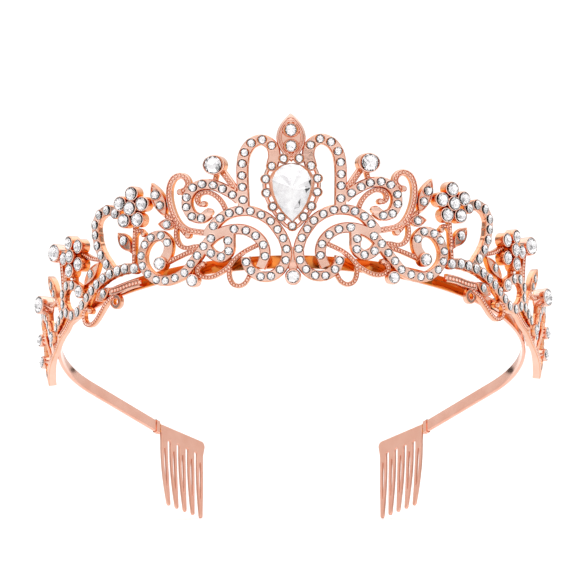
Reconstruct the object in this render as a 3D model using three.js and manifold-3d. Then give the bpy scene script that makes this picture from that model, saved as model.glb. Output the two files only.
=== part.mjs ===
// Bridal tiara: a flat spring headband with two hair combs, and an openwork crown of three
// castings set with round stones and one pear-shaped stone.
// Millimetres. +X is the right of someone facing the wearer, +Y the back of the head and +Z up.
// The origin is the centre of the headband's front arc. The headband's plane leans back, as it is worn.
import * as THREE from 'three';
import { mergeVertices } from 'three/addons/utils/BufferGeometryUtils.js';
import Module from 'manifold-3d';

const wasm = await Module();
wasm.setup();

// ---- Driving dimensions -------------------------------------------------------------------
const BAND_LEAN = THREE.MathUtils.degToRad(24.6); // how far the band's plane tips back
const BAND_WIDTH = 3.8;
const BAND_THICKNESS = 1;
const FRONT_RADIUS = 69.7; // round front of the band, to the middle of its thickness
const FRONT_HALF_ANGLE = THREE.MathUtils.degToRad(60);
const TEMPLE_RADIUS = 54.6; // tighter arc behind the temples
const TEMPLE_ANGLE = THREE.MathUtils.degToRad(59.4);
const ARM_LENGTH = 38.5; // straight end of the band on each side

const COMB_LENGTH = 21.3;
const COMB_HEIGHT = 25.8;
const COMB_THICKNESS = 0.9;
const COMB_TURN = THREE.MathUtils.degToRad(38.9); // combs turn inward a little more than the arms
const COMB_RISE = 1.5; // top of the comb above the middle of the band
const TINE_PAIRS = 5;
const CRIMP_LENGTH = 1.8;
const CRIMP_WALL = 0.4;

const CROWN_RADIUS = 71.9; // back face of the crown at its foot
const CROWN_FORWARD = 0.6; // the crown's own centre stands this far in front of the band's
const CROWN_ROLL = THREE.MathUtils.degToRad(0.85); // the crown sits slightly askew on the band
const CROWN_SHIFT = 0.4;
const FRONT_FLARE = THREE.MathUtils.degToRad(24); // outward lean of the crown at the front
const SIDE_FLARE = THREE.MathUtils.degToRad(7); // and at the sides
const CASTING_FACE = 1.3; // front face of the strands, outward from the crown surface
const CASTING_BACK = -0.6;
const REAR_BACK_SCALE = 2.2; // the rear of the side castings is this much deeper behind the surface
const REAR_START = 90;
const REAR_FULL = 106;

const STONE_STRAND = 2.9; // strand widths
const BEADED_STRAND = 1.7;
const THIN_STRAND = 1.3;
const HALO_STRAND = 2.4;
const LOWER_RAIL = 2.2;
const FOOT_RAIL = 1.9;

const GAP = 0.3; // glue and solder gap between separate pieces

// ---- Materials ----------------------------------------------------------------------------
const roseGold = new THREE.MeshStandardMaterial({ color: 0xe8a88e, roughness: 0.18, metalness: 1 });
const satinRoseGold = new THREE.MeshStandardMaterial({ color: 0xe9b09a, roughness: 0.35, metalness: 1 });
const crystal = new THREE.MeshStandardMaterial({ color: 0xf2f3f5, roughness: 0.03, metalness: 0 });

// ---- Solids ---------------------------------------------------------------------------------
const WELD_DISTANCE = 1e-4; // corners closer than this are one corner

function toSolid(geometry) {
  const bare = geometry.clone();
  bare.deleteAttribute('normal');
  bare.deleteAttribute('uv');
  const merged = mergeVertices(bare, WELD_DISTANCE);
  const vertProperties = new Float32Array(merged.attributes.position.array);
  const triVerts = new Uint32Array(merged.index.array);
  let solid = new wasm.Manifold(new wasm.Mesh({ numProp: 3, vertProperties, triVerts }));
  if (solid.volume() < 0) {
    for (let i = 0; i < triVerts.length; i += 3) {
      [triVerts[i], triVerts[i + 1]] = [triVerts[i + 1], triVerts[i]];
    }
    solid = new wasm.Manifold(new wasm.Mesh({ numProp: 3, vertProperties, triVerts }));
  }
  return solid;
}

function joined(geometries) {
  return geometries.map(toSolid).reduce((whole, piece) => whole.add(piece));
}

function toGeometry(solid, place = (x, y, z) => [x, y, z]) {
  const mesh = solid.getMesh();
  const positions = [];
  for (let i = 0; i < mesh.vertProperties.length; i += mesh.numProp) {
    const [x, y, z] = mesh.vertProperties.slice(i, i + 3);
    positions.push(...place(x, y, z));
  }
  const geometry = new THREE.BufferGeometry();
  geometry.setAttribute('position', new THREE.Float32BufferAttribute(positions, 3));
  geometry.setIndex([...mesh.triVerts]);
  geometry.computeVertexNormals();
  return geometry;
}

// ---- The crown surface ----------------------------------------------------------------------
// Castings are drawn flat and then bent round the head: u is the distance round the foot of the
// crown from its centre, v the height up its face and w the distance outward from the surface.
function flareAt(turn) {
  const facing = Math.max(Math.cos(turn), 0);
  return SIDE_FLARE + (FRONT_FLARE - SIDE_FLARE) * facing * facing;
}

function onCrown(u, v, w) {
  const turn = u / CROWN_RADIUS;
  const flare = flareAt(turn);
  const deeper = THREE.MathUtils.smoothstep(Math.abs(u), REAR_START, REAR_FULL);
  const depth = w < 0 ? w * (1 + (REAR_BACK_SCALE - 1) * deeper) : w;
  const radius = CROWN_RADIUS + v * Math.sin(flare) + depth * Math.cos(flare);
  return [
    radius * Math.sin(turn),
    -CROWN_FORWARD - radius * Math.cos(turn),
    v * Math.cos(flare) - depth * Math.sin(flare),
  ];
}

function crownFrame(u, v, w) {
  const turn = u / CROWN_RADIUS;
  const flare = flareAt(turn);
  const along = new THREE.Vector3(Math.cos(turn), Math.sin(turn), 0);
  const outward = new THREE.Vector3(Math.sin(turn), -Math.cos(turn), 0).multiplyScalar(Math.cos(flare));
  outward.z = -Math.sin(flare);
  const up = new THREE.Vector3().crossVectors(outward, along);
  return new THREE.Matrix4().makeBasis(along, up, outward).setPosition(...onCrown(u, v, w));
}

// ---- Flat pieces of a casting, drawn in u, v and w ------------------------------------------
const STRAND_STEP = 2.1;

function strand(points, width, side) {
  const curve = new THREE.CatmullRomCurve3(points.map(([u, v]) => new THREE.Vector3(u * side, v, 0)));
  const section = new THREE.Shape();
  section.moveTo(-CASTING_FACE, -width / 2);
  section.lineTo(-CASTING_BACK, -width / 2);
  section.lineTo(-CASTING_BACK, width / 2);
  section.lineTo(-CASTING_FACE, width / 2);
  const steps = Math.max(1, Math.ceil(curve.getLength() / STRAND_STEP));
  return new THREE.ExtrudeGeometry(section, { steps: points.length === 2 ? 1 : steps, extrudePath: curve });
}

function plate(shape, face = CASTING_FACE, curveSegments = 6) {
  const geometry = new THREE.ExtrudeGeometry(shape, {
    depth: face - CASTING_BACK,
    bevelEnabled: false,
    curveSegments,
  });
  return geometry.translate(0, 0, CASTING_BACK);
}

// A pointed leaf between two tips.
function leaf([u1, v1], [u2, v2], halfWidth, side) {
  const foot = new THREE.Vector2(u1 * side, v1);
  const tip = new THREE.Vector2(u2 * side, v2);
  const across = tip.clone().sub(foot).normalize().rotateAround(new THREE.Vector2(), Math.PI / 2);
  const middle = foot.clone().add(tip).multiplyScalar(0.5);
  const left = middle.clone().addScaledVector(across, 2 * halfWidth);
  const right = middle.clone().addScaledVector(across, -2 * halfWidth);
  const shape = new THREE.Shape();
  shape.moveTo(foot.x, foot.y);
  shape.quadraticCurveTo(right.x, right.y, tip.x, tip.y);
  shape.quadraticCurveTo(left.x, left.y, foot.x, foot.y);
  return plate(shape);
}

const DISC_SIDES = 12;

function disc(u, v, radius, face, side) {
  const geometry = new THREE.CylinderGeometry(radius, radius, face - CASTING_BACK, DISC_SIDES);
  geometry.rotateX(Math.PI / 2);
  return geometry.translate(u * side, v, (face + CASTING_BACK) / 2);
}

const TURNED_CUP_FOOT = 0.4; // a turned cup starts this far up its own axis, inside the disc it stands on

// The cup of a stone that looks more to the front than the crown does there.
function turnedCup({ at: [u, v], radius, floor, turn }, side) {
  const wall = radius + CUP_WALL;
  const geometry = new THREE.CylinderGeometry(wall, wall, floor - TURNED_CUP_FOOT, DISC_SIDES);
  geometry.rotateX(Math.PI / 2).translate(0, 0, (floor + TURNED_CUP_FOOT) / 2);
  geometry.rotateY(-side * turn).translate(u * side, v, 0);
  return [disc(u, v, wall, CASTING_FACE, side), geometry];
}

function ring(u, v, outer, inner, side) {
  const shape = new THREE.Shape().absarc(u * side, v, outer, 0, 2 * Math.PI);
  shape.holes.push(new THREE.Path().absarc(u * side, v, inner, 0, 2 * Math.PI));
  return plate(shape);
}

// ---- The design of the crown's right half; the left half is its mirror image ------------------
// Each strand is the line that its wire follows, in u and v.
const centreStrands = [
  // hoop beside the pear stone
  [STONE_STRAND, [[12, 13.4], [11.9, 16], [11.8, 19.5], [11.7, 22.6], [11.4, 25.8], [10.7, 28.6],
    [9, 31], [6.6, 31.8], [4.5, 30.2], [3.9, 27.6], [4.5, 24.8]]],
  // swag at the foot that turns up into the large arch
  [STONE_STRAND, [[12.6, 0.7], [12.4, -0.8], [11.2, -3.1], [8.8, -4.7], [5.9, -4.8], [3.5, -3.3],
    [1.9, -0.8], [1.6, 2.2], [2.4, 5.2], [3.8, 7.7], [5.4, 9.9], [7.7, 11.7], [10.3, 12.9], [13, 13.2],
    [15.6, 12.9], [18.1, 11.8], [20.2, 10], [22, 8.2]]],
  // inner arch, long scroll and the spiral that ends it
  [STONE_STRAND, [[8.8, -2.4], [7.4, 0.6], [7.6, 3.6], [9.3, 6.2], [11.8, 7.9], [14.8, 8.5], [18, 8.1],
    [21, 6.8], [23.3, 4.9], [25.4, 2.8], [27.5, 0.9], [29.9, -1.1], [32.8, -2], [35.8, -2.1],
    [38.5, -1.2], [40.8, 0.9], [42, 3.5], [41.8, 6.3], [40.1, 8.9], [37.8, 10.3], [34.9, 10.1],
    [33.3, 7.9], [33.9, 5.2], [36.2, 2.9]]],
  // small hook inside the inner arch
  [STONE_STRAND, [[16.2, 7.6], [16.4, 5.5], [16.8, 2.8], [19, 1.4], [21.6, 2.7], [22.7, 4.4]]],
  // C-shaped scroll
  [STONE_STRAND, [[12.9, 16.3], [14.3, 17.8], [16.6, 19.6], [18.8, 20.9], [21.6, 21.5], [24.1, 20.9],
    [26, 18.8], [26.4, 16.2], [25.3, 13.6], [22.9, 12.6], [21, 13.6]]],
  // thin curl inside it
  [THIN_STRAND, [[16.6, 13.6], [17.4, 16], [18.8, 18], [20.8, 19.3], [22.8, 19.1], [23.7, 17.7],
    [23.1, 16.4], [22, 16.3]]],
  // beaded stalk of the stud, and its short prop
  [BEADED_STRAND, [[12.7, 17.4], [16.9, 25.2]]],
  [THIN_STRAND, [[17.6, 25], [18.7, 21.4]]],
  // tall beaded hook
  [BEADED_STRAND, [[21.4, 8.2], [24.9, 9.2], [27.3, 10.1], [29, 11.6], [30.2, 14], [30.9, 17.4],
    [30.9, 20.3], [30.2, 23], [28.9, 24.7], [27.2, 25.1], [25.8, 24.2], [25.3, 22.5], [26.2, 21.1],
    [27.8, 20.6]]],
  // lower beaded hook, its knob and the bar below
  [THIN_STRAND, [[29.8, 12.4], [30.7, 10], [30.8, 8], [30, 6.2], [28.3, 5.4], [26, 5.4], [23.6, 5.1]]],
  [THIN_STRAND, [[29, 10.8], [28.2, 9.3], [27.4, 8.7]]],
  [THIN_STRAND, [[25, 4.2], [28, 4.1], [31.6, 3.4], [35.2, 2.6]]],
  // vine that crosses behind the inner arch
  [THIN_STRAND, [[8.6, 4], [12.9, 2.2], [15.5, 0.5], [17.7, -1.5], [20.1, -2.8], [22.7, -3.5],
    [25, -3.1], [26.3, -1.7], [25.8, -0.3], [24.4, 0.3]]],
  // beaded hook at the foot
  [THIN_STRAND, [[11.8, -4], [13.3, -6.1], [15, -6.8], [16.8, -6.1], [17.6, -4], [17.2, -1.6]]],
  // twig that carries the tall leaf
  [THIN_STRAND, [[30.2, 13.4], [31.6, 14.1], [33.4, 16]]],
  // half of the frame round the pear stone
  [HALO_STRAND, [[-0.6, 8.2], [1.2, 8.9], [2.9, 10.9], [4.7, 13.8], [6, 17.4], [6, 21.1], [4.6, 24.4],
    [1.9, 26.4], [-0.6, 26.9]]],
];

const centreLeaves = [
  [[32.8, 14.6], [35, 25], 1.85],
  [[30.2, 12.1], [35.3, 13.5], 1.6],
];

const sideStrands = [
  // lower rail that turns up into the second scroll
  [STONE_STRAND, [[44.2, 3.4], [47.8, 4.3], [50.7, 4.5], [53.6, 4.5], [56.5, 4.1], [59.4, 3.4],
    [62, 2.4], [64.7, 1.3], [67.5, 0.1], [70.3, -0.9], [73.6, -0.7], [76.4, 1.2], [77.7, 4.2],
    [76.9, 7], [73.9, 8.3], [70.6, 7.2], [67.6, 4.6]]],
  // side hoop
  [STONE_STRAND, [[46, 19.4], [47.6, 20.4], [50.2, 21.8], [53.2, 21.5], [55.5, 19.4], [56.1, 16.6],
    [56.2, 13.6], [55.5, 10.6], [54.1, 7.5], [52.8, 5]]],
  // stem of the first flower, the small arch beside it and the leaf's twig
  [THIN_STRAND, [[42.2, 15.5], [43, 12.6], [44, 9], [45.1, 4.6]]],
  [THIN_STRAND, [[40.2, 11.9], [40.7, 12.9], [41.8, 13.3], [43, 12.4]]],
  [THIN_STRAND, [[44.2, 7.6], [45.6, 9.2]]],
  // beaded lower rail and the vine that ends in a curl
  [LOWER_RAIL, [[44.3, -0.5], [48, -0.3], [52, -0.4], [55.4, 0]]],
  [THIN_STRAND, [[54.6, -1.7], [57.4, -2.5], [60.4, -4.2], [63.4, -5.8], [66.2, -6.2], [68.4, -4.6],
    [68.2, -2.2], [66.4, -1.3], [64.7, -2.6]]],
  // twig from the low leaf up to the rail
  [THIN_STRAND, [[58.2, 0.4], [60.6, 2.4]]],
  // twig between the side hoop and the second flower
  [THIN_STRAND, [[56, 9.4], [60, 11.2], [63.3, 13.8]]],
  // stems of the second flower and of the second stud, and a small arch between them
  [THIN_STRAND, [[69.2, 11], [70.2, 7.2]]],
  [BEADED_STRAND, [[75, 17], [75.6, 12.6], [76.6, 7.8]]],
  [THIN_STRAND, [[70, 11.6], [72, 12.6], [73.8, 11.9], [75, 9]]],
  // second rail, and the beaded rail along the foot
  [STONE_STRAND, [[76.8, 2.8], [79.3, 1.9], [82, 1], [84.8, 0.1], [87.4, -1.5]]],
  [FOOT_RAIL, [[73, -0.9], [76, -1.3], [79.4, -2.5], [82, -2.9], [84.5, -3.3], [87, -4], [90, -4.8],
    [96, -5.3], [102, -5.8], [107, -6.2], [111, -6.3]]],
  // stem and side twig of the rear leaf
  [THIN_STRAND, [[82.6, 8.6], [81.4, 4.6], [80.8, 1.6]]],
  [THIN_STRAND, [[82.4, 7.6], [86, 7.6], [90.6, 9.6]]],
  // rear hoop, its inner curl and the stalk of the rear stud
  [STONE_STRAND, [[90.6, -4.4], [91.5, -0.6], [92.6, 3], [93.8, 6.2], [96.5, 9], [100.3, 10.4],
    [104.3, 9.6], [107.4, 6.8], [109, 3.2], [109.6, -0.6], [109.4, -5.6]]],
  [THIN_STRAND, [[96, -5], [98.4, -1.2], [101, 2], [102.6, 4.8], [101.2, 6.2], [99.6, 5.2]]],
  [BEADED_STRAND, [[91.6, 9.4], [92.8, 4.4]]],
];

const sideLeaves = [
  [[45, 8.2], [48, 14.7], 1.8],
  [[54.8, 0.9], [61.2, -0.9], 1.6],
  [[56.8, 9.1], [65, 4.9], 1.6],
  [[82, 7.4], [85.5, 16.4], 1.9],
];

// Round stones in cups: where each stands, its radius and the height of its cup's floor.
const STUD = 2.35;
const STUD_FLOOR = 3.1;
const SIDE_STUD_FLOOR = 2.4;
const SIDE_STUD_TURN = THREE.MathUtils.degToRad(15); // towards the front
const REAR_STUD_TURN = THREE.MathUtils.degToRad(18);
const REAR_HOOP_TURN = THREE.MathUtils.degToRad(20);
const REAR_HOOP_STONE = { radius: 1.6, floor: 1.8, turn: REAR_HOOP_TURN };
const PETAL = 1.75;
const FLOWER_FLOOR = 1.8;
const FIRST_FLOWER = [41.8, 19.6];
const SECOND_FLOWER = [67.2, 14.6];
const centreCups = [
  { name: 'front_stud', at: [17.7, 26.1], radius: STUD, floor: STUD_FLOOR },
  { name: 'foot_drop', at: [27.7, -3.7], radius: 1.5, floor: 1.5 },
  { name: 'front_scroll', at: [36.2, 2.7], radius: 1.6, floor: 1.6 },
];
const sideCups = [
  { name: 'side_stud', at: [75, 18.6], radius: STUD, floor: SIDE_STUD_FLOOR, turn: SIDE_STUD_TURN },
  { name: 'rear_stud', at: [91.5, 9.7], radius: STUD, floor: STUD_FLOOR, turn: REAR_STUD_TURN },
  { name: 'rear_hoop_upper', at: [108.1, 5.9], ...REAR_HOOP_STONE },
  { name: 'rear_hoop_lower', at: [109.6, -0.4], ...REAR_HOOP_STONE },
  { name: 'side_scroll', at: [66.6, 3.9], radius: 1.6, floor: 1.6 },
  { name: 'rail_end', at: [87.6, -1.7], radius: 1.5, floor: 1.5 },
  ...flower('side_flower', FIRST_FLOWER, [[-1.2, 3.8], [2.9, 2.2], [2.7, -2.7], [-1.5, -3.6], [-3.7, 0.2]]),
  ...flower('rear_flower', SECOND_FLOWER, [[-0.3, 3.8], [3.5, 0.8], [1.8, -3.6], [-2.9, -3.5], [-4.3, 1.3]]),
];

function flower(name, [u, v], petals) {
  const centre = { name: `${name}_centre`, at: [u, v], radius: PETAL, floor: FLOWER_FLOOR + 0.2 };
  const round = petals.map(([du, dv], i) => (
    { name: `${name}_petal_${i + 1}`, at: [u + du, v + dv], radius: PETAL, floor: FLOWER_FLOOR }
  ));
  return [centre, ...round];
}

const CUP_WALL = 0.3;
const FLOWER_BACK_RADIUS = 3.2;
const FLOWER_BACK_FACE = 0.8;
const RING = { at: [53.9, -3.3], outer: 2.1, inner: 0.8 };

// Half of a casting, as loose flat pieces that overlap where they are joined.
function castingPieces(strands, leaves, cups, side) {
  return [
    ...strands.map(([width, points]) => strand(points, width, side)),
    ...leaves.map(([foot, tip, halfWidth]) => leaf(foot, tip, halfWidth, side)),
    ...cups.flatMap((cup) => (
      cup.turn ? turnedCup(cup, side) : disc(...cup.at, cup.radius + CUP_WALL, cup.floor, side)
    )),
  ];
}

// ---- Centre ornament: the top leaf, the pear stone's seat and the drop at the foot ------------
const PEAR_LOW = 9.9;
const PEAR_HIGH = 24.9;
const PEAR_RADIUS = 5.1;
const PEAR_CENTRE = PEAR_HIGH - PEAR_RADIUS;
const PEAR_FLOOR = 1.3;
const PEAR_BEZEL = 0.4;
const PEAR_SEGMENTS = 10;
const TOP_LEAF_LOW = 25.6;
const TOP_LEAF_HIGH = 38.6;
const TOP_LEAF_HALF_WIDTH = 3.3;
const FOOT_STONE = { at: [0, -5.2], radius: 1.65, floor: 1.5 };
const FOOT_WEB = [[0, -5.4], [0, 3], 1.4]; // joins the two swags at the foot
const LEAF_STONES = [{ at: [0, 34.1], radius: 1.6 }, { at: [0, 29.8], radius: 1.5 }];

const TIP_INSET = 1.6; // the sharp tip moves further than the sides when the outline shrinks
const SIDE_BULGE = 0.86; // where the side's curve aims, as a share of the radius
const SIDE_LIFT = 0.36; // and of the height up to the round part

// A pear outline: three quarters of a circle whose sides run on to a point.
function pearShape(inset) {
  const radius = PEAR_RADIUS - inset;
  const tip = PEAR_LOW + TIP_INSET * inset;
  const aim = tip + SIDE_LIFT * (PEAR_CENTRE - tip);
  const shape = new THREE.Shape();
  shape.moveTo(0, tip);
  shape.quadraticCurveTo(SIDE_BULGE * radius, aim, radius, PEAR_CENTRE);
  shape.absarc(0, PEAR_CENTRE, radius, 0, Math.PI);
  shape.quadraticCurveTo(-SIDE_BULGE * radius, aim, 0, tip);
  return shape;
}

const centreOrnament = [
  plate(pearShape(-PEAR_BEZEL), PEAR_FLOOR, PEAR_SEGMENTS),
  leaf([0, TOP_LEAF_LOW], [0, TOP_LEAF_HIGH], TOP_LEAF_HALF_WIDTH, 1),
  leaf(...FOOT_WEB, 1),
  disc(...FOOT_STONE.at, FOOT_STONE.radius + 2 * CUP_WALL, FOOT_STONE.floor, 1),
];

// ---- Headband ---------------------------------------------------------------------------------
// The band's middle line on the right, from the front to the end of its straight arm.
function bandPath() {
  const outline = new THREE.CurvePath();
  const turned = FRONT_HALF_ANGLE + TEMPLE_ANGLE;
  const offset = FRONT_RADIUS - TEMPLE_RADIUS;
  const templeCentre = new THREE.Vector2(
    offset * Math.sin(FRONT_HALF_ANGLE),
    -offset * Math.cos(FRONT_HALF_ANGLE),
  );
  const quarter = Math.PI / 2;
  outline.add(new THREE.EllipseCurve(
    0, 0, FRONT_RADIUS, FRONT_RADIUS, -quarter, FRONT_HALF_ANGLE - quarter,
  ));
  outline.add(new THREE.EllipseCurve(
    templeCentre.x, templeCentre.y, TEMPLE_RADIUS, TEMPLE_RADIUS,
    FRONT_HALF_ANGLE - quarter, turned - quarter,
  ));
  const armStart = new THREE.Vector2(
    templeCentre.x + TEMPLE_RADIUS * Math.sin(turned),
    templeCentre.y - TEMPLE_RADIUS * Math.cos(turned),
  );
  const along = new THREE.Vector2(Math.cos(turned), Math.sin(turned));
  const armEnd = armStart.clone().addScaledVector(along, ARM_LENGTH);
  outline.add(new THREE.LineCurve(armStart, armEnd));
  return { outline, armStart, armEnd, along };
}

const band = bandPath();
const FRONT_STEPS = 22;
const TEMPLE_STEPS = 16;

function headband() {
  const [front, temple] = band.outline.curves;
  const middle = [...front.getPoints(FRONT_STEPS), ...temple.getPoints(TEMPLE_STEPS).slice(1), band.armEnd];
  const normals = middle.map((_, i) => {
    const ahead = middle[Math.min(i + 1, middle.length - 1)];
    const behind = i === 0 ? new THREE.Vector2(-ahead.x, ahead.y) : middle[i - 1];
    const onArm = i >= middle.length - 2;
    const direction = onArm ? band.along : ahead.clone().sub(behind).normalize();
    return new THREE.Vector2(direction.y, -direction.x);
  });
  const offset = (distance) => middle.map((point, i) => point.clone().addScaledVector(normals[i], distance));
  const outer = offset(BAND_THICKNESS / 2);
  const inner = offset(-BAND_THICKNESS / 2);
  const mirror = (points) => points.slice(1).reverse().map((point) => new THREE.Vector2(-point.x, point.y));
  const outline = [...mirror(outer), ...outer, ...inner.slice().reverse(), ...mirror(inner).reverse()];
  const settings = { depth: BAND_WIDTH, bevelEnabled: false };
  const geometry = new THREE.ExtrudeGeometry(new THREE.Shape(outline), settings);
  return toGeometry(toSolid(geometry.translate(0, 0, -BAND_WIDTH / 2)));
}

// ---- Hair combs -------------------------------------------------------------------------------
// Drawn flat: x runs along the plate from the band, y is down from its top edge.
const PLATE_DEPTH = 4.4; // top edge to the slots between pairs
const EYE_START = 7.4; // top edge to the narrow slot inside each pair
const EYE_END = 19.6;
const PAIR_PITCH = COMB_LENGTH / TINE_PAIRS;
const PAIR_WIDTHS = [[PLATE_DEPTH + 0.6, 2.9], [10, 2.9], [15, 2.7], [19.5, 2.2], [23.4, 1.6], [25.2, 1.3]];
const EYE_WIDTHS = [[EYE_START, 0.3], [9, 0.8], [13, 1], [17, 0.7], [EYE_END, 0.2]];
const CORNER = 1.6;
const SLOT_HALF_WIDTH = 0.3; // closed end of the slot between two pairs
const SWEEP = 2.9; // how far the tips of the first pair stand beyond its root
const SWEEP_STEP = 0.45; // less for each pair after it
const SWEEP_POWER = 1.7;

// Tines sweep towards the plate's far end as they go down.
function sweepAt(pair, down) {
  const reach = Math.max(down - PLATE_DEPTH, 0) / (COMB_HEIGHT - PLATE_DEPTH);
  return (SWEEP - SWEEP_STEP * pair) * reach ** SWEEP_POWER;
}

function combShape() {
  const shape = new THREE.Shape();
  shape.moveTo(0, 0);
  shape.lineTo(COMB_LENGTH - CORNER, 0);
  shape.quadraticCurveTo(COMB_LENGTH, 0, COMB_LENGTH, -CORNER);
  for (let pair = TINE_PAIRS - 1; pair >= 0; pair -= 1) {
    const middle = (pair + 0.5) * PAIR_PITCH;
    const sides = PAIR_WIDTHS.map(([down, width]) => [middle + sweepAt(pair, down), down, width / 2]);
    sides.forEach(([x, down, half]) => shape.lineTo(x + half, -down));
    shape.lineTo(middle + sweepAt(pair, COMB_HEIGHT), -COMB_HEIGHT);
    sides.reverse().forEach(([x, down, half]) => shape.lineTo(x - half, -down));
    if (pair > 0) {
      shape.lineTo(pair * PAIR_PITCH + SLOT_HALF_WIDTH, -PLATE_DEPTH);
      shape.lineTo(pair * PAIR_PITCH - SLOT_HALF_WIDTH, -PLATE_DEPTH);
    }
    const eye = EYE_WIDTHS.map(([down, width]) => [middle + sweepAt(pair, down), down, width / 2]);
    const hole = new THREE.Path(eye.map(([x, down, half]) => new THREE.Vector2(x - half, -down)));
    eye.reverse().forEach(([x, down, half]) => hole.lineTo(x + half, -down));
    shape.holes.push(hole);
  }
  shape.closePath();
  return shape;
}

function combAt(side) {
  const geometry = new THREE.ExtrudeGeometry(combShape(), {
    depth: COMB_THICKNESS,
    bevelEnabled: false,
    curveSegments: 5,
  });
  geometry.translate(0, COMB_RISE, -COMB_THICKNESS / 2);
  geometry.rotateX(Math.PI / 2); // stand the plate up, so its top edge is at +Z
  const mesh = new THREE.Mesh(toGeometry(toSolid(geometry)), satinRoseGold);
  const heading = Math.PI / 2 + COMB_TURN;
  const along = new THREE.Vector2(Math.cos(heading), Math.sin(heading));
  const foot = band.armEnd.clone().addScaledVector(along, GAP);
  mesh.position.set(side * foot.x, foot.y, 0);
  mesh.rotation.z = side > 0 ? heading : Math.PI - heading;
  return mesh;
}

// A closed collar round the end of each arm, beside the comb.
function crimpAt(side) {
  const hole = { width: BAND_THICKNESS + 2 * GAP, height: BAND_WIDTH + 2 * GAP };
  const outer = new THREE.BoxGeometry(
    CRIMP_LENGTH, hole.width + 2 * CRIMP_WALL, hole.height + 2 * CRIMP_WALL,
  );
  const opening = new THREE.BoxGeometry(2 * CRIMP_LENGTH, hole.width, hole.height);
  const geometry = toGeometry(toSolid(outer).subtract(toSolid(opening)));
  const mesh = new THREE.Mesh(geometry, roseGold);
  const place = band.armEnd.clone().addScaledVector(band.along, -CRIMP_LENGTH / 2 - 2 * GAP);
  const heading = Math.atan2(band.along.y, band.along.x);
  mesh.position.set(side * place.x, place.y, 0);
  mesh.rotation.z = side > 0 ? heading : Math.PI - heading;
  return mesh;
}

// ---- Solder tabs between the band and the castings ---------------------------------------------
function tabAt(turn, height, length, side) {
  const turned = side * turn;
  const reach = Math.min(turn, FRONT_HALF_ANGLE);
  const beyond = turn - reach;
  const offset = FRONT_RADIUS - TEMPLE_RADIUS;
  const centreX = beyond > 0 ? offset * Math.sin(FRONT_HALF_ANGLE) : 0;
  const centreY = beyond > 0 ? -offset * Math.cos(FRONT_HALF_ANGLE) : 0;
  const bandRadius = (beyond > 0 ? TEMPLE_RADIUS : FRONT_RADIUS) + BAND_THICKNESS / 2;
  const bandPoint = new THREE.Vector2(
    side * (centreX + bandRadius * Math.sin(turn)),
    centreY - bandRadius * Math.cos(turn),
  );
  const outward = new THREE.Vector2(Math.sin(turned), -Math.cos(turned));
  const back = new THREE.Vector2(...onCrown(turned * CROWN_RADIUS, -height / 2, CASTING_BACK));
  const room = back.sub(bandPoint).dot(outward) + side * CROWN_SHIFT * Math.sin(turn);
  const thickness = room - 2 * GAP;
  const geometry = new THREE.BoxGeometry(length, thickness, height);
  const mesh = new THREE.Mesh(geometry, roseGold);
  const middle = bandPoint.addScaledVector(outward, room / 2);
  mesh.position.set(middle.x, middle.y, 0);
  mesh.rotation.z = turned;
  return mesh;
}

// ---- Stones: flat-backed brilliants --------------------------------------------------------------
const STONE_SIDES = 10;
const TABLE_RATIO = 0.55;
const GIRDLE_RATIO = 0.25;
const CROWN_RATIO = 0.32;
const BASE_RATIO = 0.8;

function roundStone(radius) {
  const girdle = GIRDLE_RATIO * radius;
  const profile = [
    new THREE.Vector2(0, 0),
    new THREE.Vector2(BASE_RATIO * radius, 0),
    new THREE.Vector2(radius, girdle),
    new THREE.Vector2(TABLE_RATIO * radius, girdle + CROWN_RATIO * radius),
    new THREE.Vector2(0, girdle + CROWN_RATIO * radius),
  ];
  const geometry = new THREE.LatheGeometry(profile, STONE_SIDES).rotateX(Math.PI / 2);
  return toGeometry(toSolid(geometry));
}

const PEAR_STONE_SEGMENTS = 5;
const PEAR_STONE_RINGS = [[0.5, 0], [0, 0.9], [1.9, 2.3]]; // inset and height of the base, girdle and table

function pearStone() {
  const outline = (inset) => pearShape(inset).getPoints(PEAR_STONE_SEGMENTS).slice(0, -1);
  const rings = PEAR_STONE_RINGS.map(([inset, height]) => [outline(inset), height]);
  const positions = rings.flatMap(([points, height]) => (
    points.flatMap(({ x, y }) => [x, y - PEAR_CENTRE, height])
  ));
  const count = rings[0][0].length;
  const indices = [];
  for (let level = 0; level < 2; level += 1) {
    for (let i = 0; i < count; i += 1) {
      const next = (i + 1) % count;
      const [a, b] = [level * count + i, level * count + next];
      indices.push(a, b, b + count, a, b + count, a + count);
    }
  }
  const caps = THREE.ShapeUtils.triangulateShape(rings[0][0], []);
  caps.forEach(([a, b, c]) => indices.push(c, b, a));
  const table = THREE.ShapeUtils.triangulateShape(rings[2][0], []);
  table.forEach(([a, b, c]) => indices.push(a + 2 * count, b + 2 * count, c + 2 * count));
  const geometry = new THREE.BufferGeometry();
  geometry.setAttribute('position', new THREE.Float32BufferAttribute(positions, 3));
  geometry.setIndex(indices);
  return toGeometry(toSolid(geometry));
}

// A piece that stands w out from the crown along its own axis, which is turned about the crown's height.
function placed(geometry, material, u, v, w, turn = 0) {
  const mesh = new THREE.Mesh(geometry, material);
  const place = crownFrame(u, v, 0).multiply(new THREE.Matrix4().makeRotationY(turn));
  place.multiply(new THREE.Matrix4().makeTranslation(0, 0, w));
  place.decompose(mesh.position, mesh.quaternion, mesh.scale);
  return mesh;
}

// ---- Assembly -------------------------------------------------------------------------------------
const SIDES = [['left', -1], ['right', 1]];
const TABS = [ // where round the band, height and length along the band
  { name: 'front_tab', turn: 1.5, height: 2, length: 1.6 },
  { name: 'side_tab', turn: 54, height: 3, length: 3 },
  { name: 'rear_tab', turn: 80, height: 2.6, length: 4 },
];

const bandGroup = new THREE.Group();
const crownGroup = new THREE.Group();

function add(parent, mesh, name) {
  mesh.name = name;
  parent.add(mesh);
}

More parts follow.
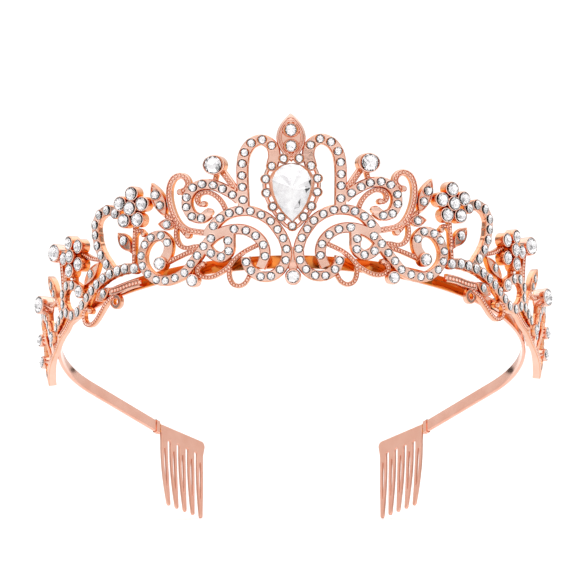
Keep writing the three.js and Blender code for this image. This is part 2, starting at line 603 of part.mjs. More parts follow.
add(bandGroup, new THREE.Mesh(headband(), satinRoseGold), 'headband');
for (const [label, side] of SIDES) {
  add(bandGroup, combAt(side), `comb_${label}`);
  add(bandGroup, crimpAt(side), `crimp_${label}`);
  for (const { name, turn, height, length } of TABS) {
    add(bandGroup, tabAt(THREE.MathUtils.degToRad(turn), height, length, side), `${name}_${label}`);
  }
}

const centreCasting = joined([
  ...centreOrnament,
  ...castingPieces(centreStrands, centreLeaves, centreCups, -1),
  ...castingPieces(centreStrands, centreLeaves, centreCups, 1),
]);
add(crownGroup, new THREE.Mesh(toGeometry(centreCasting, onCrown), roseGold), 'crown_centre');
for (const [label, side] of SIDES) {
  const pieces = [
    ...castingPieces(sideStrands, sideLeaves, sideCups, side),
    disc(...FIRST_FLOWER, FLOWER_BACK_RADIUS, FLOWER_BACK_FACE, side),
    disc(...SECOND_FLOWER, FLOWER_BACK_RADIUS, FLOWER_BACK_FACE, side),
    ring(...RING.at, RING.outer, RING.inner, side),
  ];
  add(crownGroup, new THREE.Mesh(toGeometry(joined(pieces), onCrown), roseGold), `crown_side_${label}`);
}

add(crownGroup, placed(pearStone(), crystal, 0, PEAR_CENTRE, PEAR_FLOOR + GAP), 'pear_stone');
LEAF_STONES.forEach(({ at, radius }, i) => {
  add(crownGroup, placed(roundStone(radius), crystal, ...at, CASTING_FACE + GAP), `leaf_stone_${i + 1}`);
});
const footStone = placed(roundStone(FOOT_STONE.radius), crystal, ...FOOT_STONE.at, FOOT_STONE.floor + GAP);
add(crownGroup, footStone, 'foot_stone_centre');
for (const [label, side] of SIDES) {
  for (const { name, at: [u, v], radius, floor, turn = 0 } of [...centreCups, ...sideCups]) {
    const stone = placed(roundStone(radius), crystal, side * u, v, floor + GAP, -side * turn);
    add(crownGroup, stone, `${name}_stone_${label}`);
  }
}

bandGroup.rotation.x = -BAND_LEAN;
crownGroup.rotation.x = -BAND_LEAN;

// The crown is rolled about the foot of its centre.
const pivotHeight = FRONT_RADIUS * Math.sin(BAND_LEAN);
crownGroup.position.z = -pivotHeight;
const askew = new THREE.Group();
askew.position.set(CROWN_SHIFT, 0, pivotHeight);
askew.rotation.y = -CROWN_ROLL;
askew.add(crownGroup);

const tiara = new THREE.Group();
tiara.name = 'bridal_tiara';
tiara.add(bandGroup, askew);

export default tiara;
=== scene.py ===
"""The looks of the bridal tiara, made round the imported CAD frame.

Drawing is done in millimetres, in the crown's own u, v, w or in the band's own x, y, z, and every
mesh is made in metres in the row frame.
"""
import math
import random

import bpy
import numpy as np
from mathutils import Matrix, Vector
from mathutils.geometry import delaunay_2d_cdt


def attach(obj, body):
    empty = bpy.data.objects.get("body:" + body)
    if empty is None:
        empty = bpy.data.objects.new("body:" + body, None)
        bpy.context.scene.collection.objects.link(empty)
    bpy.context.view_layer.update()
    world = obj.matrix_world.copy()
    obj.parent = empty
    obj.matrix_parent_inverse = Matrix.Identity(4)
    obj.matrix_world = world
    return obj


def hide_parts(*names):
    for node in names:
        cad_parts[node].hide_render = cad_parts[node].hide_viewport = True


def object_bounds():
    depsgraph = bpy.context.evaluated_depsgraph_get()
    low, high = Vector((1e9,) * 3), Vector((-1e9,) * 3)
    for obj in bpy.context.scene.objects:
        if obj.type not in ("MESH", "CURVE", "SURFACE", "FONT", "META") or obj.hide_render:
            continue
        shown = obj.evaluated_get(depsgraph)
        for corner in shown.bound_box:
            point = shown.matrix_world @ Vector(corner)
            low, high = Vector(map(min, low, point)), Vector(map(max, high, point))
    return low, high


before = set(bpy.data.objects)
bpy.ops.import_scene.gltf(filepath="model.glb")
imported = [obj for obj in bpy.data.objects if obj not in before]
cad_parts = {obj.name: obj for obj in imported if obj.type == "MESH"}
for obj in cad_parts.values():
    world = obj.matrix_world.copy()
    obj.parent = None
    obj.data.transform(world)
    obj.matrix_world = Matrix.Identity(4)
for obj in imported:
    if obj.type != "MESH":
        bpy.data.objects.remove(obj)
cad_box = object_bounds()
random.seed(7)

MM = 0.001

# ---- The part's own dimensions, as its CAD source has them ----
BAND_LEAN = math.radians(24.6)
BAND_WIDTH = 3.8
BAND_THICKNESS = 1.0
FRONT_RADIUS = 69.7
FRONT_HALF_ANGLE = math.radians(60)
TEMPLE_RADIUS = 54.6
TEMPLE_ANGLE = math.radians(59.4)
ARM_LENGTH = 38.5
COMB_LENGTH = 21.3
COMB_HEIGHT = 25.8
COMB_THICKNESS = 0.9
COMB_TURN = math.radians(38.9)
COMB_RISE = 1.5
TINE_PAIRS = 5
PLATE_DEPTH = 4.4
EYE_START = 7.4
EYE_END = 19.6
CRIMP_LENGTH = 1.8
CROWN_RADIUS = 71.9
CROWN_FORWARD = 0.6
CROWN_ROLL = math.radians(0.85)
CROWN_SHIFT = 0.4
FRONT_FLARE = math.radians(24)
SIDE_FLARE = math.radians(7)
CASTING_FACE = 1.3
CASTING_BACK = -0.6
REAR_BACK_SCALE = 2.2
REAR_START = 90
REAR_FULL = 106
GAP = 0.3
STONE_STRAND = 2.9
BEADED_STRAND = 1.7
THIN_STRAND = 1.3
HALO_STRAND = 0.95
LOWER_RAIL = 2.2
FOOT_RAIL = 1.9


# ---- From the crown's u, v, w and the band's x, y, z to the row frame ----
def lean(points):
    """The band's plane tips back about the X axis."""
    x, y, z = points.T
    cos, sin = math.cos(BAND_LEAN), math.sin(BAND_LEAN)
    return np.stack([x, y * cos + z * sin, -y * sin + z * cos], axis=1)


def smoothstep(x, low, high):
    t = np.clip((x - low) / (high - low), 0, 1)
    return t * t * (3 - 2 * t)


def on_crown(points):
    """Row-frame metres of points given as u, v, w in millimetres."""
    u, v, w = np.asarray(points, float).T
    turn = u / CROWN_RADIUS
    flare = SIDE_FLARE + (FRONT_FLARE - SIDE_FLARE) * np.maximum(np.cos(turn), 0) ** 2
    deeper = 1 + (REAR_BACK_SCALE - 1) * smoothstep(np.abs(u), REAR_START, REAR_FULL)
    depth = np.where(w < 0, w * deeper, w)
    radius = CROWN_RADIUS + v * np.sin(flare) + depth * np.cos(flare)
    bent = np.stack([
        radius * np.sin(turn),
        -CROWN_FORWARD - radius * np.cos(turn),
        v * np.cos(flare) - depth * np.sin(flare),
    ], axis=1)
    x, y, z = lean(bent).T
    pivot = FRONT_RADIUS * math.sin(BAND_LEAN)
    cos, sin = math.cos(CROWN_ROLL), math.sin(CROWN_ROLL)
    rolled = np.stack([
        CROWN_SHIFT + x * cos - (z - pivot) * sin,
        y,
        pivot + x * sin + (z - pivot) * cos,
    ], axis=1)
    return rolled * MM


def on_band(points):
    """Row-frame metres of points given as the band's x, y, z in millimetres."""
    return lean(np.asarray(points, float)) * MM


def crown_frame(u, v):
    """A square frame on the crown at u, v: columns are along, up and outward."""
    at, along, up = on_crown([[u, v, 0], [u + 0.01, v, 0], [u, v + 0.01, 0]])
    x_axis = (along - at) / np.linalg.norm(along - at)
    outward = np.cross(x_axis, up - at)
    outward /= np.linalg.norm(outward)
    return at, np.stack([x_axis, np.cross(outward, x_axis), outward], axis=1)


def placed(local, u, v, w, turn=0.0):
    """Row-frame metres of points drawn round an axis that leaves the crown at u, v.

    They stand w along the axis, which is turned by an angle about the crown's height.
    """
    at, axes = crown_frame(u, v)
    cos, sin = math.cos(turn), math.sin(turn)
    turned = np.array([[cos, 0, sin], [0, 1, 0], [-sin, 0, cos]])
    return at + ((np.asarray(local, float) + [0, 0, w]) @ turned.T * MM) @ axes.T


# ---- Meshes ----
def make_piece(name, points, faces, materials, replaces=(), face_materials=None,
               smooth_angle=None):
    """A visible piece. Faces that meet at less than smooth_angle degrees are shaded as one."""
    mesh = bpy.data.meshes.new(name)
    mesh.from_pydata([tuple(p) for p in points], [], faces)
    mesh.update()
    for material in materials:
        mesh.materials.append(material)
    if face_materials is not None:
        mesh.polygons.foreach_set("material_index", face_materials)
    if smooth_angle is not None:
        mesh.shade_smooth()
        mesh.set_sharp_from_angle(angle=math.radians(smooth_angle))
    piece = bpy.data.objects.new(name, mesh)
    bpy.context.scene.collection.objects.link(piece)
    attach(piece, "root")
    if replaces:
        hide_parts(*replaces)
    return piece


class Bundle:
    """Several loose bodies gathered into one mesh."""

    def __init__(self):
        self.points = []
        self.faces = []
        self.face_materials = []
        self.count = 0

    def add(self, points, faces, face_materials=None):
        self.points.append(np.asarray(points, float))
        self.faces += [[i + self.count for i in face] for face in faces]
        self.face_materials += face_materials or [0] * len(faces)
        self.count += len(points)

    def piece(self, name, materials, slot, replaces=(), smooth_angle=None):
        return make_piece(name, np.vstack(self.points), self.faces, materials, replaces,
                          self.face_materials, smooth_angle)


# ---- Lines and outlines ----
CURVE_STEPS = 16
BATCH = 64


def spaced(line, step):
    """The same open line with points at even distances."""
    line = np.asarray(line, float)
    lengths = np.r_[0, np.cumsum(np.linalg.norm(np.diff(line, axis=0), axis=1))]
    count = max(2, int(math.ceil(lengths[-1] / step)) + 1)
    at = np.linspace(0, lengths[-1], count)
    return np.stack([np.interp(at, lengths, line[:, k]) for k in range(line.shape[1])], axis=1)


def smooth_line(points, step):
    """A centripetal Catmull-Rom curve through the points."""
    p = np.asarray(points, float)
    if len(p) == 2:
        return spaced(p, step)
    p = np.vstack([2 * p[0] - p[1], p, 2 * p[-1] - p[-2]])
    pieces = []
    for a, b, c, d in zip(p, p[1:], p[2:], p[3:]):
        t1 = math.sqrt(np.linalg.norm(b - a))
        t2 = t1 + math.sqrt(np.linalg.norm(c - b))
        t3 = t2 + math.sqrt(np.linalg.norm(d - c))
        t = np.linspace(t1, t2, CURVE_STEPS, endpoint=False)[:, None]

        def mixed(first, last, start, end):
            return (end - t) / (end - start) * first + (t - start) / (end - start) * last

        ab, bc, cd = mixed(a, b, 0, t1), mixed(b, c, t1, t2), mixed(c, d, t2, t3)
        pieces.append(mixed(mixed(ab, bc, 0, t2), mixed(bc, cd, t1, t3), t1, t2))
    return spaced(np.vstack([*pieces, p[-2]]), step)


def line_normals(line):
    tangent = np.gradient(line, axis=0)
    tangent /= np.linalg.norm(tangent, axis=1)[:, None]
    return np.stack([-tangent[:, 1], tangent[:, 0]], axis=1)


def arc(radius, turns):
    return radius * np.stack([np.cos(turns), np.sin(turns)], axis=1)


def circle(u, v, radius, sides):
    return arc(radius, np.linspace(0, 2 * math.pi, sides, endpoint=False)) + [u, v]


def distance_to_line(points, line):
    """Distance of each point from an open line of straight steps."""
    best = np.full(len(points), np.inf)
    start, step = line[:-1], np.diff(line, axis=0)
    square = np.maximum((step ** 2).sum(axis=1), 1e-12)
    for low in range(0, len(start), BATCH):
        a, d, q = (part[low:low + BATCH] for part in (start, step, square))
        offset = points[:, None, :] - a[None]
        t = np.clip((offset * d).sum(axis=2) / q, 0, 1)
        gap = offset - t[..., None] * d
        best = np.minimum(best, np.sqrt((gap ** 2).sum(axis=2)).min(axis=1))
    return best


def inside_outline(points, outline):
    """True where a point lies inside a closed outline."""
    x, y = points.T
    result = np.zeros(len(points), bool)
    for (x1, y1), (x2, y2) in zip(outline, np.roll(outline, -1, axis=0)):
        if y1 != y2:
            crosses = (y1 > y) != (y2 > y)
            result ^= crosses & (x < (x2 - x1) * (y - y1) / (y2 - y1) + x1)
    return result


# ---- Relief: one cast plate whose face rises and falls ----
# A profile lists how far in from a part's edge, and how high the face stands there.
STONE_PROFILE = [(0, 0.78), (0.1, 1.08), (0.28, 1.3)]
BEADED_PROFILE = [(0, 0.7), (0.08, 1.0), (0.18, 1.1), (0.3, 1.05), (0.38, 0.78)]
THIN_PROFILE = [(0, 0.55), (0.07, 0.82), (0.15, 0.92), (0.23, 0.88), (0.3, 0.66)]
HALO_PROFILE = [(0, 0.7), (0.12, 1.05), (0.3, 1.2)]
LEAF_PROFILE = [(0, 0.9), (0.08, 1.25), (0.18, 1.42), (0.36, 1.42), (0.46, 1.1), (0.54, 1.0)]
TALL_LEAF_PROFILE = [(0, 0.9), (0.1, 1.25), (0.25, 1.4), (0.5, 1.4), (0.62, 1.15), (0.8, 1.15),
                     (0.9, 1.4), (1.1, 1.38), (1.22, 1.1)]
WEB_PROFILE = [(0, 0.8), (0.2, 1.0)]
# Spacing along a strand, and the least width that a strand's ridge and a disc's top keep.
STRAND_STEP = 0.5
LEAST_RIDGE = 0.02
LEAST_TOP = 0.05
# How much faster a leaf's inset outline draws back from its tips, and the most it does, as a share.
LENS_DRAW = 1.3
LENS_MOST = 0.45
# A point this far outside a part still belongs to it, and the height is worked out this far round it.
EDGE_TOLERANCE = 0.012
NEAR = 0.1
BACK_EDGE = 0.12
SEAT_SIDES = 24
SEAT_LIP = 0.2
SEAT_LIP_RISE = 0.16
SEAT_LIP_RUN = 0.09
WALL_STEP = 0.04
# What the triangulation keeps, and how near two points are before it makes them one.
KEEP_INSIDE = 1
MERGE_WITHIN = 1e-5
# The castings' materials, in their order, and the slope from which a face counts as an edge, which gets
# painted shade.
BUFFED, AS_CAST, SHADED_EDGE = 0, 1, 2
EDGE_SLOPE = math.radians(50)


class Relief:
    """A casting as it is drawn in u and v: outlines to fill, edges to keep, and what rises there."""

    def __init__(self):
        self.points = []
        self.edges = []
        self.faces = []
        self.parts = []
        self.seats = []
        self.shaped_seats = []

    def add_points(self, points):
        first = len(self.points)
        self.points += [Vector((float(x), float(y))) for x, y in points]
        return first

    def add_loop(self, points):
        first = self.add_points(points)
        count = len(points)
        self.edges += [(first + i, first + (i + 1) % count) for i in range(count)]
        return list(range(first, first + count))

    def strand(self, points, width, profile):
        half = width / 2
        line = smooth_line(points, STRAND_STEP)
        normals = line_normals(line)
        insets = [inset for inset, _ in profile if inset < half - LEAST_RIDGE]
        offsets = sorted({-half + inset for inset in insets} | {half - inset for inset in insets})
        lanes = len(offsets)
        grid = line[:, None, :] + normals[:, None, :] * np.array(offsets)[None, :, None]
        first = self.add_points(grid.reshape(-1, 2))
        for i in range(len(line) - 1):
            a = first + i * lanes
            b = a + lanes
            self.faces.append([a, a + lanes - 1, b + lanes - 1, b])
            self.edges += [(a + k, b + k) for k in range(1, lanes - 1)]
        self.parts.append((profile, lambda p: half - distance_to_line(p, line), grid.reshape(-1, 2)))
        return line

    def outline(self, outline, insets, profile):
        """A part with a closed outline. insets are the outlines of its inner steps."""
        outline = np.asarray(outline, float)
        self.faces.append(self.add_loop(outline))
        for inner in insets:
            self.add_loop(inner)
        ring = np.vstack([outline, outline[:1]])

        def depth(p):
            away = distance_to_line(p, ring)
            return np.where(inside_outline(p, outline), away, -away)

        self.parts.append((profile, depth, outline))

    def leaf(self, foot, tip, half_width, profile, steps=22):
        foot, tip = np.array(foot, float), np.array(tip, float)
        across = np.array([-(tip - foot)[1], (tip - foot)[0]]) / np.linalg.norm(tip - foot)
        length = np.linalg.norm(tip - foot)

        def lens(inset):
            reach = LENS_DRAW * inset * math.hypot(length, 4 * half_width) / (4 * half_width)
            low = min(reach / length, LENS_MOST)
            t = np.linspace(low, 1 - low, steps)
            side = 4 * half_width * t * (1 - t)
            slope = 4 * half_width * (1 - 2 * t) / length
            side = np.maximum(side - inset * np.hypot(1, slope), 0)
            side[[0, -1]] = 0
            middle = foot + (tip - foot) * t[:, None]
            upper = middle + across * side[:, None]
            lower = (middle - across * side[:, None])[-2:0:-1]
            return np.vstack([upper, lower])[::-1]

        insets = [lens(inset) for inset, _ in profile[1:]]
        self.outline(lens(0), insets, profile)

    def disc(self, u, v, radius, profile, sides=28):
        insets = [inset for inset, _ in profile[1:] if inset < radius - LEAST_TOP]
        rings = [circle(u, v, radius - inset, sides) for inset in insets]
        self.faces.append(self.add_loop(circle(u, v, radius, sides)))
        for ring in rings:
            self.add_loop(ring)
        self.add_loop(circle(u, v, radius + WALL_STEP, sides))
        centre = np.array([u, v])
        self.parts.append((profile, lambda p: radius - np.linalg.norm(p - centre, axis=1),
                           circle(u, v, radius, sides)))

    def seat(self, u, v, radius, floor, lip=None, sides=SEAT_SIDES):
        """A round recess for a stone, with a small raised lip round it where lip gives its height."""
        self.seats.append((u, v, radius, floor))
        self.add_loop(circle(u, v, radius, sides))
        self.add_loop(circle(u, v, radius - WALL_STEP, sides))
        if lip is not None:
            profile = [(0, lip - SEAT_LIP_RISE), (SEAT_LIP_RUN, lip)]
            self.disc(u, v, radius + SEAT_LIP, profile, sides)

    def shaped_seat(self, rim, foot, floor):
        """A recess with any outline; foot is the same outline a little further in."""
        self.shaped_seats.append((rim, floor))
        self.add_loop(foot)

    def height(self, p):
        """How far out the face and the back stand at each point."""
        face = np.full(len(p), -np.inf)
        back = np.zeros(len(p))
        for profile, depth, reach in self.parts:
            low, high = reach.min(axis=0) - NEAR, reach.max(axis=0) + NEAR
            near = np.flatnonzero(((p >= low) & (p <= high)).all(axis=1))
            if not len(near):
                continue
            inset = depth(p[near])
            held = inset >= -EDGE_TOLERANCE
            steps, heights = zip(*profile)
            rise = np.where(held, np.interp(inset, steps, heights), -np.inf)
            face[near] = np.maximum(face[near], rise)
            fall = np.interp(inset, [0, BACK_EDGE], [CASTING_BACK + BACK_EDGE, CASTING_BACK])
            back[near] = np.minimum(back[near], np.where(held, fall, 0))
        for u, v, radius, floor in self.seats:
            inside = np.linalg.norm(p - np.array([u, v]), axis=1) < radius - WALL_STEP / 2
            face[inside] = floor
        for rim, floor in self.shaped_seats:
            face[inside_outline(p, rim)] = floor
        face[~np.isfinite(face)] = STONE_PROFILE[0][1]
        back[back == 0] = CASTING_BACK
        return face, back

    def area(self, face):
        points = np.array([self.points[i][:] for i in face])
        x, y = points.T
        return (x * np.roll(y, -1) - np.roll(x, -1) * y).sum() / 2

    def build(self):
        """Points as u, v, w and faces of the closed plate."""
        for u, v, radius, _ in self.seats:
            self.faces.append(self.add_loop(circle(u, v, radius, SEAT_SIDES)))
        outlines = [face if self.area(face) > 0 else face[::-1] for face in self.faces]
        flat, _, cells, _, _, owners = delaunay_2d_cdt(
            self.points, self.edges, outlines, KEEP_INSIDE, MERGE_WITHIN, True)
        cells = [tuple(cell) for cell, owner in zip(cells, owners) if owner]
        used = sorted({i for cell in cells for i in cell})
        place = {old: new for new, old in enumerate(used)}
        flat = np.array([flat[i][:] for i in used])
        cells = [tuple(place[i] for i in cell) for cell in cells]
        face, back = self.height(flat)
        count = len(flat)
        points = np.vstack([np.c_[flat, face], np.c_[flat, back]])
        rims = dict.fromkeys(edge for a, b, c in cells for edge in ((a, b), (b, c), (c, a)))
        sides = [(b, a, a + count, b + count) for a, b in rims if (b, a) not in rims]
        backs = [(c + count, b + count, a + count) for a, b, c in cells]
        corners = points[np.array(cells)]
        normals = np.cross(corners[:, 1] - corners[:, 0], corners[:, 2] - corners[:, 0])
        facing = normals[:, 2] / np.linalg.norm(normals, axis=1)
        # Steep faces take the edge material, painted a darker orange as shade.
        kinds = [BUFFED if cosine > math.cos(EDGE_SLOPE) else SHADED_EDGE for cosine in facing]
        return points, cells + backs + sides, kinds + [AS_CAST] * (len(backs) + len(sides))


# ---- Stones: a cut crown of clear glass over a silvered back ----
# The stones' materials, in their order; the girdle's is painted dark as the shade in the gap round each
# stone. A cut is the height of the crown, of the pavilion and its unevenness, as shares of the radius.
GLASS, SHADED_GIRDLE, FOIL = 0, 1, 2
SMALL_CUT = (0.2, 0.13, 0.05)
SIDE_CUT = (0.07, 0.03, 0.03)
LARGE_CUT = (0.24, 0.14, 0.03)
TABLE_RATIO = 0.56
LOW_RATIO = 0.3
GIRDLE_RATIO = 0.05
HEART_RATIO = 0.3
MAINS = 8
SIZE_SPREAD = (0.98, 1.02)
TURN_SPREAD = (0, 0.8)
BEAD_FOOT = 0.3
BEAD_SIDES = 8


def cut_stone(rings, heights, girdle):
    """A brilliant cut drawn from the outlines of its levels.

    rings holds the table, the star points, the girdle, the pavilion's lower points and the culet;
    heights holds the table, the star points, the lower points and the culet, from the middle of the
    girdle.
    """
    table_ring, star_ring, rim, low_ring, culet_point = (
        np.atleast_2d(np.asarray(ring, float)) for ring in rings)
    table_z, star_z, low_z, culet_z = heights
    count, k = len(rim), len(table_ring)

    def level(points, z):
        return np.c_[points, np.zeros(len(points)) + z]

    points = np.vstack([
        level(table_ring, table_z),
        level(star_ring, star_z),
        level(rim, girdle / 2),
        level(rim, -girdle / 2),
        level(low_ring, low_z),
        level(culet_point, culet_z),
    ])
    t, m, g, b, l, culet = 0, k, 2 * k, 2 * k + count, 2 * k + 2 * count, 3 * k + 2 * count
    faces = [list(range(t, t + k))]
    kinds = [GLASS]
    for i in range(k):
        j, before = (i + 1) % k, (i - 1) % k
        rim_i, rim_half, rim_next = 2 * i, 2 * i + 1, (2 * i + 2) % count
        faces += [
            [t + i, m + i, t + j],
            [t + i, m + before, g + rim_i, m + i],
            [m + i, g + rim_i, g + rim_half],
            [m + i, g + rim_half, g + rim_next],
            [g + rim_i, b + rim_i, b + rim_half, g + rim_half],
            [g + rim_half, b + rim_half, b + rim_next, g + rim_next],
            [b + rim_i, l + i, b + rim_half],
            [b + rim_half, l + i, b + rim_next],
            [b + rim_i, l + before, culet, l + i],
        ]
        kinds += [GLASS] * 4 + [SHADED_GIRDLE] * 2 + [FOIL] * 3
    heart = np.array([*culet_point[0], culet_z * HEART_RATIO])
    turned = []
    for face in faces:
        a, c, d = points[face[0]], points[face[1]], points[face[2]]
        normal = np.cross(c - a, d - a)
        outward = points[face].mean(axis=0) - heart
        turned.append(face if normal @ outward > 0 else face[::-1])
    return points, turned, kinds


def wobble(most):
    """How far each lower point of a stone stands off its proper height."""
    return np.array([random.uniform(-most, most) for _ in range(MAINS)])


def round_stone(radius, cut, turn):
    """A brilliant-cut stone, turned by an angle about its own axis."""
    angles = turn + np.linspace(0, 2 * math.pi, 2 * MAINS, endpoint=False)
    rim = arc(radius, angles)
    star = (1 + TABLE_RATIO) / 2
    flat = math.cos(math.pi / (2 * MAINS))
    girdle = GIRDLE_RATIO * radius
    crown, pavilion, uneven = (share * radius for share in cut)
    heights = [
        girdle / 2 + crown,
        girdle / 2 + crown * (1 - (star * flat - TABLE_RATIO) / (1 - TABLE_RATIO)),
        -girdle / 2 - pavilion * (1 - LOW_RATIO * flat) + np.minimum(wobble(uneven), pavilion / 2),
        -girdle / 2 - pavilion,
    ]
    rings = [rim[0::2] * TABLE_RATIO, rim[1::2] * star, rim, rim[1::2] * LOW_RATIO, [0, 0]]
    return cut_stone(rings, heights, girdle)


def lathe(profile, sides):
    """A body turned about z, from radius and z pairs that start and end on the axis."""
    points, levels = [], []
    for radius, z in profile:
        if radius:
            levels.append([len(points) + i for i in range(sides)])
            points += [[x, y, z] for x, y in circle(0, 0, radius, sides)]
        else:
            levels.append([len(points)] * sides)
            points.append([0, 0, z])
    faces = []
    for lower, upper in zip(levels, levels[1:]):
        for i in range(sides):
            j = (i + 1) % sides
            faces.append(list(dict.fromkeys([lower[i], lower[j], upper[j], upper[i]])))
    return np.array(points), faces


def bead(radius):
    """Half a ball with a short foot that reaches into the groove."""
    foot = -BEAD_FOOT * radius
    dome = [(radius * math.cos(t), radius * math.sin(t)) for t in (0, math.pi / 6, math.pi / 3)]
    return lathe([(0, foot), (radius, foot), *dome, (0, radius)], BEAD_SIDES)


# ---- Materials ----
# Painted shade in recesses: how far the plating looks round for what stands near it, in metres, and the
# open shares where the painted shade colour is full and where there is none.
RECESS_SHADE = (0.0018, 0.25, 0.72)
WALL_RECESS_SHADE = (0.014, 0.55, 0.93)
RECESS_SAMPLES = 8
# The part of the range that noise mostly keeps to.
NOISE_SPAN = (0.35, 0.65)
WIDE_GRAIN = 160
BLOTCH_GRAIN = 170
SIDE_BLOTCH_LIFT = 0.3
# Where the crown covers the band and the band gets painted shade, as the row frame's y: the front, and the
# stretch where the cover ends.
COVERED_FRONT = -0.067
COVERED_FULL = -0.050
COVERED_END = -0.038


def fill(tree, node, inputs):
    """Links each input that is given as another node's output, and sets the others."""
    for key, value in inputs.items():
        if isinstance(value, bpy.types.NodeSocket):
            tree.links.new(value, node.inputs[key])
        else:
            node.inputs[key].default_value = value


def new_node(tree, kind, inputs):
    node = tree.nodes.new(f"ShaderNode{kind}")
    fill(tree, node, inputs)
    return node


def map_range(tree, value, start, end=(0, 1), smooth=False):
    """The value stretched so that the two levels of start become the two levels of end."""
    node = new_node(tree, "MapRange", {"Value": value, "From Min": start[0], "From Max": start[1],
                                       "To Min": end[0], "To Max": end[1]})
    node.interpolation_type = "SMOOTHSTEP" if smooth else "LINEAR"
    return node.outputs["Result"]


def combined(tree, operation, first, second):
    node = new_node(tree, "Math", {0: first, 1: second})
    node.operation = operation
    return node.outputs["Value"]


def own_coordinates(tree):
    return new_node(tree, "TexCoord", {}).outputs["Object"]


def noise_value(tree, scale, detail=3.0, stretch=(1, 1, 1)):
    """Noise over the object's own coordinates, in metres, as one number from 0 to 1."""
    mapping = new_node(tree, "Mapping", {"Vector": own_coordinates(tree), "Scale": stretch})
    noise = new_node(tree, "TexNoise", {"Vector": mapping.outputs["Vector"], "Scale": scale,
                                        "Detail": detail})
    return noise.outputs["Fac"]


def blend_colours(tree, value, low, high):
    ramp = new_node(tree, "ValToRGB", {"Fac": value})
    for element, position, colour in zip(ramp.color_ramp.elements, NOISE_SPAN, (low, high)):
        element.position = position
        element.color = (*colour, 1)
    return ramp.outputs["Color"]


def mix_colours(tree, share, first, second):
    node = new_node(tree, "Mix", {"Factor": share})
    node.data_type = "RGBA"
    colours = [key for key, socket in enumerate(node.inputs) if socket.type == "RGBA"]
    fill(tree, node, dict(zip(colours, (first, second))))
    return next(socket for socket in node.outputs if socket.type == "RGBA")


def shader_of(name):
    material = bpy.data.materials.new(name)
    material.use_nodes = True
    return material, material.node_tree, material.node_tree.nodes["Principled BSDF"]


def paint_recess_shade(tree, colour, shade_colour, reach, full_shade_at, no_shade_at):
    """Painted shade: plating that nearby surfaces close in is painted a deeper colour, standing in for the
    shade and warm reflections in narrow recesses.
    """
    around = new_node(tree, "AmbientOcclusion", {"Distance": reach})
    around.samples = RECESS_SAMPLES
    share = map_range(tree, around.outputs["AO"], (full_shade_at, no_shade_at))
    return mix_colours(tree, share, (*shade_colour, 1), colour)


def metal(name, low, high, shade_colour, roughness, grain, grain_stretch=(1, 1, 1), bump=0.12,
          bump_depth=0.00002, recess=RECESS_SHADE):
    """Plated metal whose colour, gloss and surface vary a little, with painted shade in its recesses."""
    material, tree, shader = shader_of(name)
    colour = blend_colours(tree, noise_value(tree, WIDE_GRAIN), low, high)
    fine = noise_value(tree, grain, detail=4, stretch=grain_stretch)
    surface = new_node(tree, "Bump", {"Strength": bump, "Distance": bump_depth, "Height": fine})
    fill(tree, shader, {
        "Metallic": 1,
        "Base Color": paint_recess_shade(tree, colour, shade_colour, *recess),
        "Roughness": map_range(tree, fine, NOISE_SPAN, roughness),
        "Normal": surface.outputs["Normal"],
    })
    return material


def paint_covered_band_shade(material):
    """Painted shade: where the crown covers the band, its plating is painted a deep copper with brown
    blotches, standing in for the shade and the dim reflected back of the crown.
    """
    tree = material.node_tree
    shader = tree.nodes["Principled BSDF"]
    plain = shader.inputs["Base Color"].links[0].from_socket
    back = new_node(tree, "SeparateXYZ", {"Vector": own_coordinates(tree)}).outputs["Y"]
    blotch_lift = map_range(tree, back, (COVERED_FRONT, COVERED_FULL), (0, SIDE_BLOTCH_LIFT))
    reflection_blotches = combined(tree, "ADD", noise_value(tree, BLOTCH_GRAIN, detail=2), blotch_lift)
    dark = blend_colours(tree, reflection_blotches, (0.13, 0.07, 0.03), (0.66, 0.19, 0.035))
    share = map_range(tree, back, (COVERED_FULL, COVERED_END), smooth=True)
    fill(tree, shader, {"Base Color": mix_colours(tree, share, dark, plain)})
    return material


def stone_material(name, grain, detail, low, high, roughness, inputs):
    """A material of the stones, whose colour and gloss vary a little from stone to stone."""
    material, tree, shader = shader_of(name)
    wide = noise_value(tree, grain, detail)
    fill(tree, shader, inputs)
    fill(tree, shader, {
        "Base Color": blend_colours(tree, wide, low, high),
        "Roughness": map_range(tree, wide, NOISE_SPAN, roughness),
    })
    return material


def band_plating(name):
    return metal(name, (0.81, 0.43, 0.32), (0.86, 0.49, 0.38), RECESS_SHADE_COLOUR, (0.10, 0.17), 3000, (1, 1, 6))


# Each metal: the darker and paler colour of its plating, its painted shade colour in recesses, its
# roughness from least to most, and how fine its grain is and how it is stretched.
RECESS_SHADE_COLOUR = (0.66, 0.19, 0.03)
cast_metal = metal("polished_rose_gold", (0.78, 0.47, 0.37), (0.88, 0.60, 0.50), RECESS_SHADE_COLOUR, (0.10, 0.22), 1800,
                   bump=0.3, bump_depth=0.00004)
# The walls and backs: as-cast plating with a wider, stronger painted recess shade.
wall_metal = metal("cast_rose_gold_recess_shade", (0.79, 0.48, 0.36), (0.85, 0.55, 0.43), (0.80, 0.25, 0.03),
                   (0.14, 0.24), 2600, recess=WALL_RECESS_SHADE)
